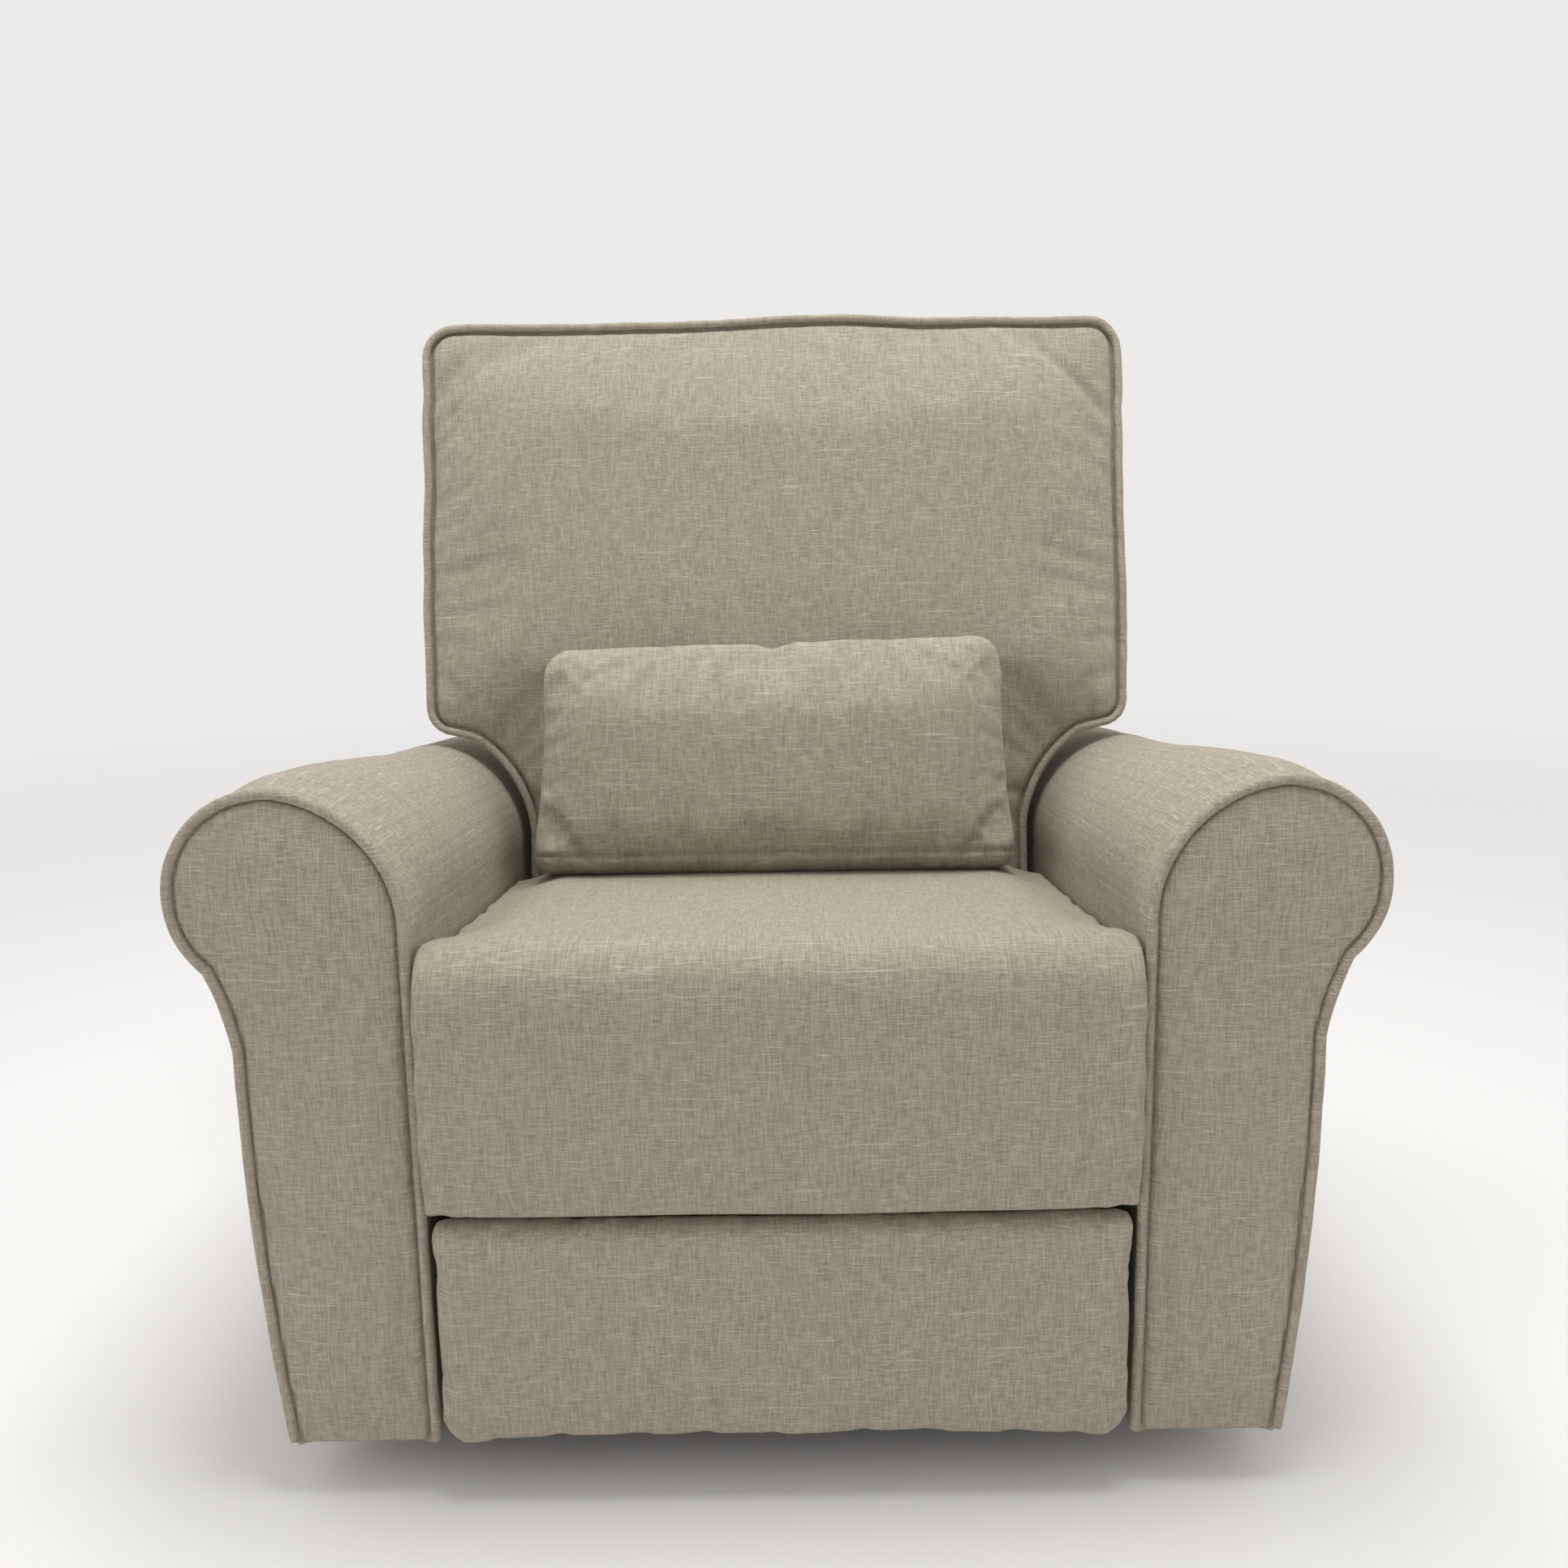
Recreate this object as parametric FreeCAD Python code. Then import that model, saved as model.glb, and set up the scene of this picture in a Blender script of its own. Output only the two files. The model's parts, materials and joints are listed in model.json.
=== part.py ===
import FreeCAD, Part
import math
import os

# Upholstered swivel glider chair with a reclining back and a fold-out footrest.
# Millimetres. -Y to the front, +Z up, +X to the right as seen from the front.
# The origin is on the floor under the swivel axis.

os.makedirs("parts", exist_ok=True)
V = FreeCAD.Vector

# ---- overall sizes ----
width = 965.0
depth = 840.0
height = 1030.0

# ---- arms ----
arm_width = 189.5         # one arm, from the seat's side to the outside of its roll
arm_bottom = 48.0
arm_set_back = 20.0       # arm fronts behind the seat's front face
arm_rear_set_in = 20.0    # arm rears in front of the rearmost point
arm_front_top = 612.0
arm_drop = 0.0995         # fall of the arm's top per unit of length
roll_r = 85.0
roll_under = 47.0         # degrees below level where the roll ends in the neck
crest_in = 12.0           # crest of the arm inside the roll's centre
arm_shell = 18.0
arm_panel_t = 12.0
welt_w = 8.0
board_t = 15.0
arm_post_t = 18.0
outside_board_t = 12.0
spine_h = 24.0
dust_t = 1.5

# ---- seat ----
seat_front_bottom = 264.0
seat_base = 352.0
seat_top_front = 483.0
seat_top_rear = 436.0
seat_front_t = 58.0
seat_ahead = 54.5         # seat's rear ahead of the back, at the height of its top
seat_clear = 2.0
rail_t = 22.0
spring_wire = 3.8
spring_half = 22.0        # half the length of a spring's straight cross run
spring_turns = 15
spring_count = 5
bolt_wire = 4.0           # radius of the arm bolts
bolt_head = 8.0

# ---- back ----
back_deep = 183.25        # piping plane to the outside of the rear cover
back_tilt = 12.0
back_set_in = 84.5        # wing's side inside the arm's outside
waist_clear = 12.0        # waist of the back inside the arms
back_bottom = 346.0
back_crown = 30.0
cushion_t = 128.0
cover_wall = 12.0
back_corner = 34.0
frame_gap = 4.0           # back cushion to the frame behind it
frame_t = 25.0
stile_w = 22.0
rail_h = 40.0
link_rail_h = 30.0
strap_w = 50.0
strap_t = 3.0
recline_behind = 95.5     # recline pivot behind the back's front, at the height of the seat's top
recline_z = 290.0
hinge_r = 15.0

# ---- pillow ----
pillow_w = 486.0
pillow_h = 240.0
pillow_t = 132.0
pillow_ahead = 114.0      # pillow's centre ahead of the back's piping plane
pillow_z = 562.0

# ---- floor ring and swivel ----
foot_r = 20.0
foot_h = 8.0
ring_r = 270.0
ring_tube_r = 12.5
spoke_w = 36.0
spoke_t = 8.0
hub_r = 68.0
plate_r = 92.0
plate_t = 4.0
ball_r = 4.0
ball_pitch = 70.0
ball_count = 24
ball_room = 0.1
skirt_h = 6.0
skirt_t = 3.0
bolt_r = 8.0
running = 0.06            # radial clearance of a running fit

# ---- glider ----
glide_y = 120.0
glide_top = 190.0
link_length = 110.0
link_w = 26.0
link_t = 5.0
hanger_inside = 103.0     # hanger plates inside the arms
hanger_t = 4.0
link_gap = 6.0            # hanger plate to link
tube_y = 60.0
tube_w = 20.0
tube_wall = 2.0
pin_r = 5.0
head_r = 8.0
head_t = 3.0
bush_r = 8.0
open_pivot = 0.6          # radial clearance of the front links' lower pivots

# ---- side plates and footrest linkage ----
side_inside = 71.0        # side plates inside the arms
side_t = 4.0
bar_t = 4.0
bar_gap = 1.0
bar_w = 20.0
tong_half = 88.0          # half the length of a full bar
tong_shut = 80.0          # bar angle from the line of travel when shut
tong_open = 15.0
tong_rise = 4.0           # slope of the line of travel
tong_behind = 135.0       # fixed pivot behind the seat's front face
tong_z = 236.0
roller_r = 7.0
cross_pivot = 1.2         # radial clearance where the stay bars cross the lift bars
cross_tube_r = 8.0
cross_tube_bore = 6.5
carriage_tube_w = 24.0
carriage_tube_z = 222.0

# ---- footrest ----
foot_behind = 8.0         # footrest's face behind the seat's front face
foot_top = 250.0
foot_bottom = 58.0
foot_clear = 9.0          # footrest's side to the arm
foot_pad_t = 35.0
foot_board_t = 15.0
foot_corner = 26.0
foot_edge = 7.0

# ---- values that follow ----
seat_front_y = -depth / 2
rear_y = depth / 2
arm_front_y = seat_front_y + arm_set_back
arm_rear_y = rear_y - arm_rear_set_in
arm_in = width / 2 - arm_width
roll_x = width / 2 - roll_r
roll_z = arm_front_top - roll_r
neck_turn = math.radians(-roll_under)
neck_x = roll_x + roll_r * math.cos(neck_turn)
neck_z = roll_z + roll_r * math.sin(neck_turn)
arm_foot_x = neck_x - 37.5
arm_side_z = neck_z - 64.8
tilt = math.radians(back_tilt)
back_z = arm_front_top - 56.0
back_y = rear_y - back_deep * math.cos(tilt) - (height - back_z) * math.tan(tilt)
back_foot_y = back_y - (back_z - seat_top_rear) * math.tan(tilt)
seat_rear_y = back_foot_y - seat_ahead
back_half = width / 2 - back_set_in
back_low_half = arm_in - waist_clear
wing_clear_y = back_y + 18.0
wing_clear_z = arm_front_top - 14.0
recline_y = back_foot_y + recline_behind
pillow_y = back_y - (back_z - pillow_z + 6) * math.tan(tilt) - pillow_ahead
ring_z = foot_h + ring_tube_r
hanger_x = arm_in - hanger_inside
side_x = arm_in - side_inside
link_x = hanger_x + hanger_t + link_gap
bar_x0 = side_x + side_t + 2 * bar_gap
bar_x1 = bar_x0 + bar_t + bar_gap
bracket_x = bar_x1 + bar_t + bar_gap
tong_y = seat_front_y + tong_behind
foot_face_y = seat_front_y + foot_behind
foot_half = arm_in - foot_clear


# ---- helpers ----
def save(name, *solids):
    """Write one node, as one solid or as a group of separate ones."""
    shape = solids[0] if len(solids) == 1 else Part.makeCompound(list(solids))
    for solid in shape.Solids:
        if not solid.isValid():
            print("not valid:", name)
    print(name, len(shape.Solids), round(sum(s.Volume for s in shape.Solids) / 1000, 1))
    shape.exportStep("parts/" + name + ".step")


def box(x0, x1, y0, y1, z0, z1):
    return Part.makeBox(x1 - x0, y1 - y0, z1 - z0, V(x0, y0, z0))


def rod(x0, x1, y, z, r):
    """Round bar along X."""
    return Part.makeCylinder(r, x1 - x0, V(x0, y, z), V(1, 0, 0))


def square_tube(half, y, z, w):
    """Square tube along X, centred on y and standing on z."""
    t = tube_wall
    outer = box(-half, half, y - w / 2, y + w / 2, z, z + w)
    return outer.cut(box(-half, half, y - w / 2 + t, y + w / 2 - t, z + t, z + w - t))


def headed_pin(x0, x1, y, z):
    """Pin along X with a head just inside x0."""
    pin = rod(x0 - head_t, x1, y, z, pin_r)
    return pin.fuse(rod(x0 - head_t, x0, y, z, head_r)).removeSplitter()


def mirror(shape):
    return shape.mirror(V(0, 0, 0), V(1, 0, 0))


def both(shape):
    return [shape, mirror(shape)]


def plate(points, x0, x1):
    """Flat plate in the YZ plane from x0 to x1."""
    wire = Part.makePolygon([V(x0, y, z) for y, z in points + points[:1]])
    return Part.Face(wire).extrude(V(x1 - x0, 0, 0))


def bar(start, end, x0, t, w, holes):
    """Round-ended link between two YZ points, with holes of the given radii."""
    (y0, z0), (y1, z1) = start, end
    length = math.hypot(y1 - y0, z1 - z0)
    uy, uz = (y1 - y0) / length, (z1 - z0) / length
    h = w / 2
    corners = [(y0 - uz * h, z0 + uy * h), (y1 - uz * h, z1 + uy * h),
               (y1 + uz * h, z1 - uy * h), (y0 + uz * h, z0 - uy * h)]
    body = plate(corners, x0, x0 + t)
    for y, z in (start, end):
        body = body.fuse(rod(x0, x0 + t, y, z, h))
    for (y, z), r in holes:
        body = body.cut(rod(x0 - 1, x0 + t + 1, y, z, r))
    return body.removeSplitter()


def closed_face(edges):
    return Part.Face(Part.Wire(Part.__sortEdges__(edges)))


# ---- floor ring and swivel ----
def make_base():
    ring = Part.makeTorus(ring_r, ring_tube_r, V(0, 0, ring_z))
    save("base_ring", ring)
    z0 = ring_z - spoke_t / 2
    spokes = []
    for k in range(4):
        arm = box(hub_r - 8, ring_r, -spoke_w / 2, spoke_w / 2, z0, z0 + spoke_t).cut(ring)
        arm = max(arm.Solids, key=lambda s: s.Volume)
        arm.rotate(V(0, 0, 0), V(0, 0, 1), 90 * k + 45)
        spokes.append(arm)
    hub = Part.makeCylinder(hub_r, spoke_t, V(0, 0, z0))
    hub = hub.cut(Part.makeCylinder(bolt_r, spoke_t, V(0, 0, z0)))
    for arm in spokes:
        hub = hub.fuse(arm)
    save("base_spokes", hub.removeSplitter())
    pads = []
    for k in range(6):
        a = math.radians(60 * k + 15)
        x, y = ring_r * math.cos(a), ring_r * math.sin(a)
        pad = Part.makeCylinder(foot_r, foot_h + 6, V(x, y, 0)).cut(ring)
        pads.append(max(pad.Solids, key=lambda s: s.Volume))
    save("floor_pads", *pads)


def make_swivel():
    low_z = ring_z + spoke_t / 2
    top_z = low_z + plate_t + 2 * ball_r + ball_room
    hole = Part.makeCylinder(bolt_r, 2 * top_z, V(0, 0, 0))
    lower = Part.makeCylinder(plate_r, plate_t, V(0, 0, low_z)).cut(hole)
    save("swivel_lower_plate", lower)
    balls = []
    for k in range(ball_count):
        a = 2 * math.pi * k / ball_count
        centre = V(ball_pitch * math.cos(a), ball_pitch * math.sin(a), low_z + plate_t + ball_r)
        balls.append(Part.makeSphere(ball_r, centre))
    save("swivel_balls", *balls)
    wide = Part.makeCylinder(bolt_r + running, 2 * top_z, V(0, 0, 0))
    upper = Part.makeCylinder(plate_r, plate_t, V(0, 0, top_z))
    skirt = Part.makeCylinder(plate_r, skirt_h, V(0, 0, top_z - skirt_h))
    skirt = skirt.cut(Part.makeCylinder(plate_r - skirt_t, skirt_h, V(0, 0, top_z - skirt_h)))
    save("swivel_upper_plate", upper.fuse(skirt).cut(wide).removeSplitter())
    bolt_low = ring_z - spoke_t / 2
    nut_t = 8.0
    bolt = Part.makeCylinder(bolt_r, top_z + plate_t + nut_t + 1 - bolt_low, V(0, 0, bolt_low))
    head = Part.makeCylinder(bolt_r + 6, 5, V(0, 0, bolt_low - 5))
    nut = Part.makeCylinder(bolt_r + 5, nut_t, V(0, 0, top_z + plate_t + 0.5))
    save("swivel_bolt", bolt.fuse([head, nut]).removeSplitter())
    return top_z + plate_t


def make_glider_frame(z0):
    tubes = []
    for y in (-tube_y, tube_y):
        tubes.append(square_tube(hanger_x, y, z0, tube_w))
    save("glider_cross_tubes", *tubes)
    top = glide_top + link_w / 2
    foot = tube_y + 30
    ear = glide_y + 16
    window = box(hanger_x - 1, hanger_x + hanger_t + 1, 15 - foot, foot - 15, z0 + tube_w + 18, top - 32)
    shape = [(-foot, z0), (foot, z0), (ear, top - 40), (ear, top), (-ear, top), (-ear, top - 40)]
    hanger = plate(shape, hanger_x, hanger_x + hanger_t).cut(window)
    for y in (-glide_y, glide_y):
        hanger = hanger.cut(rod(hanger_x - 1, hanger_x + hanger_t + 1, y, glide_top, pin_r))
    save("hanger_plate_right", hanger)
    save("hanger_plate_left", mirror(hanger))
    pins = []
    x_end = link_x + link_t + 1
    for y in (-glide_y, glide_y):
        pin = headed_pin(hanger_x, x_end, y, glide_top)
        pins += both(pin.fuse(rod(x_end, x_end + head_t, y, glide_top, head_r)).removeSplitter())
    save("hanger_pins", *pins)


def make_glide_links():
    x0 = link_x
    low = glide_top - link_length
    for name, y in (("front", -glide_y), ("rear", glide_y)):
        ends = [((y, glide_top), bush_r), ((y, low), bush_r)]
        link = bar((y, glide_top), (y, low), x0, link_t, link_w, ends)
        save("glide_links_" + name, *both(link))
        # the open lower pivot of the front links has more room than a running fit
        low_r = pin_r + (open_pivot if name == "front" else running)
        bushes = []
        for z, hole_r in ((glide_top, pin_r + running), (low, low_r)):
            bush = rod(x0 - 1, x0 + link_t + 0.5, y, z, bush_r)
            bushes += both(bush.cut(rod(x0 - 2, x0 + link_t + 2, y, z, hole_r)))
        save("glide_bushes_" + name, *bushes)


# ---- side plates ----
def tong_point(along, across):
    """Point of the linkage, measured from its fixed pivot along and across the line of travel."""
    a = math.radians(tong_rise)
    return (tong_y - along * math.cos(a) + across * math.sin(a),
            tong_z + along * math.sin(a) + across * math.cos(a))


def tong_points(angle):
    c = 2 * tong_half * math.cos(math.radians(angle))
    s = 2 * tong_half * math.sin(math.radians(angle))
    return {"fixed": tong_point(0, 0), "slide": tong_point(0, -s),
            "mid_1": tong_point(c / 2, -s / 2), "low_1": tong_point(c, -s),
            "high_1": tong_point(c, 0), "mid_2": tong_point(3 * c / 2, -s / 2),
            "high_2": tong_point(2 * c, 0)}


def make_side_plates():
    low = glide_top - link_length
    top = seat_front_bottom - 2
    shut = tong_points(tong_shut)
    opened = tong_points(tong_open)
    slide_z = shut["slide"][1]
    y_front = shut["low_1"][0] + cross_tube_r + 2.5
    foot = low - 19           # lower edge under the pivots
    waist = low + 32          # lower edge between the pivots and the ends
    rear = recline_y + 30
    outline = [(y_front, slide_z - 16), (y_front + 46, slide_z - 16), (y_front + 62, waist),
               (-glide_y - 34, waist), (-glide_y - 24, foot), (glide_y + 24, foot), (glide_y + 34, waist),
               (rear, waist + 48), (rear, recline_z + 18), (recline_y - 32, recline_z + 18),
               (recline_y - 40, top), (y_front, top)]
    side = plate(outline, side_x, side_x + side_t)
    side = side.cut(box(side_x - 1, side_x + side_t + 1, 30 - glide_y, glide_y - 30, waist + 6, top - 30))
    flange = box(side_x, arm_in, y_front, recline_y - 44, top, top + side_t)
    side = side.fuse(flange)
    slot_r = roller_r + running
    slot = bar(opened["slide"], shut["slide"], side_x - 1, side_t + 2, 2 * slot_r, [])
    side = side.cut(slot)
    for y, z in ((-glide_y, low), (glide_y, low), shut["fixed"], (recline_y, recline_z)):
        side = side.cut(rod(side_x - 1, side_x + side_t + 1, y, z, pin_r))
    side = side.removeSplitter()
    save("side_plate_right", side)
    save("side_plate_left", mirror(side))
    pins = []
    for y in (-glide_y, glide_y):
        pin = headed_pin(link_x - 1.5, side_x + side_t, y, low)
        spacer = rod(link_x + link_t + 0.6, side_x, y, low, head_r + 1)
        pins += both(pin.fuse(spacer).removeSplitter())
    pins += both(headed_pin(side_x, bar_x0 + bar_t + 0.4, *shut["fixed"]))
    pins += both(headed_pin(side_x, bar_x0 + bar_t + 3, recline_y, recline_z))
    save("side_plate_pins", *pins)
    tubes = []
    for y in (tong_y + 85, recline_y - 10):
        tubes.append(square_tube(side_x, y, carriage_tube_z, carriage_tube_w))
    save("carriage_tubes", *tubes)


# ---- footrest linkage ----
def make_tongs():
    p = tong_points(tong_shut)
    free = pin_r + running
    loose = pin_r + cross_pivot
    drive = bar(p["fixed"], p["low_1"], bar_x0, bar_t, bar_w,
                [(p["fixed"], free), (p["mid_1"], pin_r), (p["low_1"], pin_r)])
    save("drive_bars", *both(drive))
    slide = bar(p["slide"], p["high_1"], bar_x1, bar_t, bar_w,
                [(p["slide"], pin_r), (p["mid_1"], free), (p["high_1"], pin_r)])
    save("slide_bars", *both(slide))
    lift = bar(p["low_1"], p["high_2"], bar_x1, bar_t, bar_w,
               [(p["low_1"], free), (p["mid_2"], loose), (p["high_2"], pin_r)])
    save("lift_bars", *both(lift))
    stay = bar(p["high_1"], p["mid_2"], bar_x0, bar_t, bar_w,
               [(p["high_1"], free), (p["mid_2"], pin_r)])
    save("stay_bars", *both(stay))

    def pins(name, places, x0, x1):
        save(name, *[s for y, z in places for s in both(rod(x0, x1, y, z, pin_r))])

    pins("drive_bar_pins", [p["mid_1"], p["low_1"]], bar_x0, bar_x1 + bar_t)
    pins("slide_bar_pins", [p["high_1"]], bar_x0, bar_x1 + bar_t)
    pins("stay_bar_pins", [p["mid_2"]], bar_x0, bar_x1 + bar_t)
    pins("lift_bar_pins", [p["high_2"]], bar_x1, bracket_x + bar_t + 1)
    rollers = []
    y, z = p["slide"]
    roller = rod(side_x, bar_x1, y, z, roller_r)
    rollers += both(roller.fuse(rod(bar_x1, bar_x1 + bar_t, y, z, pin_r)).removeSplitter())
    save("slide_rollers", *rollers)
    y, z = p["low_1"]
    tube = rod(-bar_x0, bar_x0, y, z, cross_tube_r)
    save("tong_cross_tube", tube.cut(rod(-bar_x0, bar_x0, y, z, cross_tube_bore)))


def make_footrest():
    y0 = foot_face_y
    y1 = y0 + foot_pad_t
    y2 = y1 + foot_board_t
    lip = 19.0                # depth of the top before it slopes away
    slope = 13.5              # how far it slopes down
    # rounded lower corners, and a lip along the top that clears the seat as it swings out
    pad = box(-foot_half, foot_half, y0, y1, foot_bottom, foot_top)
    low = [e for e in pad.Edges if abs(e.tangentAt(e.FirstParameter).y) > 0.9
           and e.BoundBox.ZMax < foot_bottom + 1]
    pad = pad.makeFillet(foot_corner, low)
    front = [e for e in pad.Edges if e.BoundBox.YMax < y0 + 0.5]
    pad = pad.makeFillet(foot_edge, front)
    wedge = plate([(y1 + 1, foot_top - slope), (y1 + 1, foot_top + 1), (y0 + lip, foot_top + 1)],
                  -foot_half - 1, foot_half + 1)
    save("footrest_pad", pad.cut(wedge))
    edge = 12.0
    board = box(edge - foot_half, foot_half - edge, y1, y2, foot_bottom + edge, foot_top - slope - 0.5)
    save("footrest_board", board)
    py, pz = tong_points(tong_shut)["high_2"]
    web = plate([(y2, pz - 70), (y2, pz - 6), (py - 4, pz + 9), (py + 6, pz + 8),
                 (py + 9, pz - 2), (py + 6, pz - 10), (y2 + 4, pz - 70)], bracket_x, bracket_x + bar_t)
    web = web.cut(rod(bracket_x - 1, bracket_x + bar_t + 1, py, pz, pin_r + running))
    foot = box(bracket_x, bracket_x + 24, y2, y2 + 3, pz - 70, pz - 8)
    save("footrest_brackets", *both(web.fuse(foot).removeSplitter()))


# ---- seat ----
def make_seat():
    x = arm_in - seat_clear
    yf = seat_front_y
    edges = []
    nose = 36.0               # depth of the rounding over the front edge
    points = [V(x, yf + seat_front_t, seat_front_bottom), V(x, yf, seat_front_bottom),
              V(x, yf, seat_top_front - nose + 2)]
    edges.append(Part.LineSegment(points[0], points[1]).toShape())
    edges.append(Part.LineSegment(points[1], points[2]).toShape())
    top = V(x, yf + nose, seat_top_front)
    edges.append(Part.Arc(points[2], V(x, yf + 11, seat_top_front - 9), top).toShape())
    rest = [top, V(x, seat_rear_y, seat_top_rear), V(x, seat_rear_y, seat_base),
            V(x, yf + seat_front_t, seat_base), points[0]]
    for a, b in zip(rest, rest[1:]):
        edges.append(Part.LineSegment(a, b).toShape())
    save("seat_cushion", closed_face(edges).extrude(V(-2 * x, 0, 0)))
    z0 = seat_front_bottom + 2
    z1 = seat_base - 6
    y0 = yf + seat_front_t
    y1 = seat_rear_y + 6
    save("seat_front_rail", box(-arm_in, arm_in, y0, y0 + rail_t, z0, z1))
    save("seat_rear_rail", box(-arm_in, arm_in, y1, y1 + rail_t, z0, z1))
    side = box(arm_in - rail_t, arm_in, y0 + rail_t, y1, z0, z1)
    bolt_y = (yf + 170, yf + 360)
    bolts = []
    for y in bolt_y:
        z = (z0 + z1) / 2
        x_head = arm_in - rail_t
        side = side.cut(rod(x_head - 1, arm_in + 1, y, z, bolt_wire))
        bolt = rod(x_head, arm_in + arm_shell + board_t, y, z, bolt_wire)
        bolts += both(bolt.fuse(rod(x_head - 5, x_head, y, z, bolt_head)).removeSplitter())
    save("seat_side_rail_right", side)
    save("seat_side_rail_left", mirror(side))
    save("arm_bolts", *bolts)
    springs = []
    spacing = 2 * (arm_in - 33) / spring_count
    for k in range(spring_count):
        x_mid = (k - (spring_count - 1) / 2) * spacing
        springs.append(zigzag_spring(x_mid, y0 + rail_t / 2, y1 + rail_t / 2, z1 + 2.2))
    save("seat_springs", *springs)
    return bolt_y, (z0 + z1) / 2


def zigzag_spring(x, y0, y1, z):
    """Flat sinuous wire spring along Y: straight cross runs joined by half turns."""
    turns = spring_turns
    r = (y1 - y0) / turns / 2
    half = spring_half
    edges = []
    y = y0
    for k in range(turns):
        s = 1 if k % 2 == 0 else -1
        a = V(x - s * half, y, z)
        b = V(x + s * half, y, z)
        edges.append(Part.LineSegment(a, b).toShape())
        mid = V(x + s * (half + r), y + r, z)
        edges.append(Part.Arc(b, mid, V(x + s * half, y + 2 * r, z)).toShape())
        y += 2 * r
    s = 1 if turns % 2 == 0 else -1
    edges.append(Part.LineSegment(V(x - s * half, y, z), V(x + s * half, y, z)).toShape())
    path = Part.Wire(edges)
    section = Part.Wire(Part.makeCircle(spring_wire / 2, V(x - half, y0, z), V(1, 0, 0)))
    return path.makePipeShell([section], True, False)


# ---- arms ----
def arm_profile(inset):
    """Front outline of the right arm, as a face at the arm's front, drawn in by inset."""
    i = inset
    x0 = arm_in + i
    r = roll_r - i
    y = arm_front_y
    low = -70.0               # well under the floor, since the arm falls as it goes back
    neck = V(roll_x + r * math.cos(neck_turn), y, roll_z + r * math.sin(neck_turn))
    crest = V(roll_x - crest_in, y, roll_z + math.sqrt(r * r - crest_in ** 2))
    inner = V(x0, y, roll_z - 37)
    inner_mid = V(arm_in + 28 + i * 0.8, y, roll_z + 47 - i * 0.6)
    roll_mid = V(roll_x + r * 0.94, y, roll_z + r * 0.34)
    neck_mid = V(neck_x - 11.5 - i * 0.9, y, neck_z - 28.8 - i * 0.4)
    side_hi = V(neck_x - 18.5 - i, y, arm_side_z)
    side_mid = V(neck_x - 22 - i, y, (arm_side_z + arm_bottom) / 2)
    side_lo = V(arm_foot_x - i, y, arm_bottom)
    foot = V(arm_foot_x - 2 - i, y, low)
    edges = [
        Part.LineSegment(V(x0, y, low), inner).toShape(),
        Part.Arc(inner, inner_mid, crest).toShape(),
        Part.Arc(crest, roll_mid, neck).toShape(),
        Part.Arc(neck, neck_mid, side_hi).toShape(),
        Part.Arc(side_hi, side_mid, side_lo).toShape(),
        Part.LineSegment(side_lo, foot).toShape(),
        Part.LineSegment(foot, V(x0, y, low)).toShape(),
    ]
    return closed_face(edges)


def arm_prism(inset, y0, y1, floor):
    """The arm's outline swept back, falling as it goes, and cut level at the bottom."""
    length = y1 - y0
    face = arm_profile(inset)
    face.translate(V(0, y0 - arm_front_y, -(y0 - arm_front_y) * arm_drop))
    solid = face.extrude(V(0, length, -length * arm_drop))
    return solid.cut(box(arm_in - 50, width / 2 + 50, y0 - 10, y1 + 10, -300, floor))


def make_arms(bolt_y, bolt_z):
    holes = [rod(arm_in - 1, arm_in + arm_shell + board_t + 1, y, bolt_z, bolt_wire) for y in bolt_y]
    y_panel = arm_front_y + arm_panel_t
    outer = arm_prism(0, y_panel, arm_rear_y, arm_bottom)
    inner = arm_prism(arm_shell, y_panel, arm_rear_y - arm_shell, arm_bottom - 1)
    cover = outer.cut(inner).cut(Part.makeCompound(holes))
    panel = arm_prism(welt_w, arm_front_y, y_panel, arm_bottom)
    welt = arm_prism(0, arm_front_y, y_panel, arm_bottom)
    welt = welt.cut(arm_prism(welt_w, arm_front_y, y_panel, arm_bottom - 1))
    # boards of the frame stand just inside the padding
    x0 = arm_in + arm_shell
    x1 = arm_foot_x - arm_shell - 3
    y0 = y_panel + 1
    y1 = arm_rear_y - arm_shell - 1
    ya, yb = y0 + arm_post_t, y1 - arm_post_t
    z0 = arm_bottom + 6
    drop = (y1 - arm_front_y) * arm_drop
    top = roll_z - 57         # top of the inner board at the front
    side_top = arm_side_z - 28
    spine_z = side_top + 8
    xi = x0 + board_t
    board = plate([(y0, z0), (y1, z0), (y1, top - drop), (y0, top)], x0, xi)
    for hole in holes:
        board = board.cut(hole)
    outside = plate([(ya, z0), (yb, z0), (yb, side_top - drop - 12), (ya, side_top)],
                    x1 - outside_board_t, x1)
    front = box(xi, x1, y0, ya, z0, side_top)
    rear = box(xi, x1, yb, y1, z0, side_top - drop - 5)
    spine_top = spine_z + spine_h
    spine = plate([(ya, spine_z), (yb, spine_z - drop), (yb, spine_top - drop), (ya, spine_top)], xi, x1 - 1)
    frame = [board, outside, front, rear, spine]
    dust_z = arm_bottom + 0.5
    dust = box(x0 + 1, x1 - 1, y0 + 1, y1 - 1, dust_z, dust_z + dust_t)
    for side, place in (("right", lambda s: s), ("left", mirror)):
        save("arm_cover_" + side, place(cover))
        save("arm_front_panel_" + side, place(panel))
        save("arm_front_welt_" + side, place(welt))
        save("arm_frame_" + side, *[place(s) for s in frame])
    save("arm_dust_covers", *both(dust))


def make_rear_apron():
    y0 = recline_y + 80
    board = box(-arm_in, arm_in, y0, y0 + board_t - 1, arm_bottom + 4, recline_z - 7)
    save("rear_apron", board)


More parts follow.
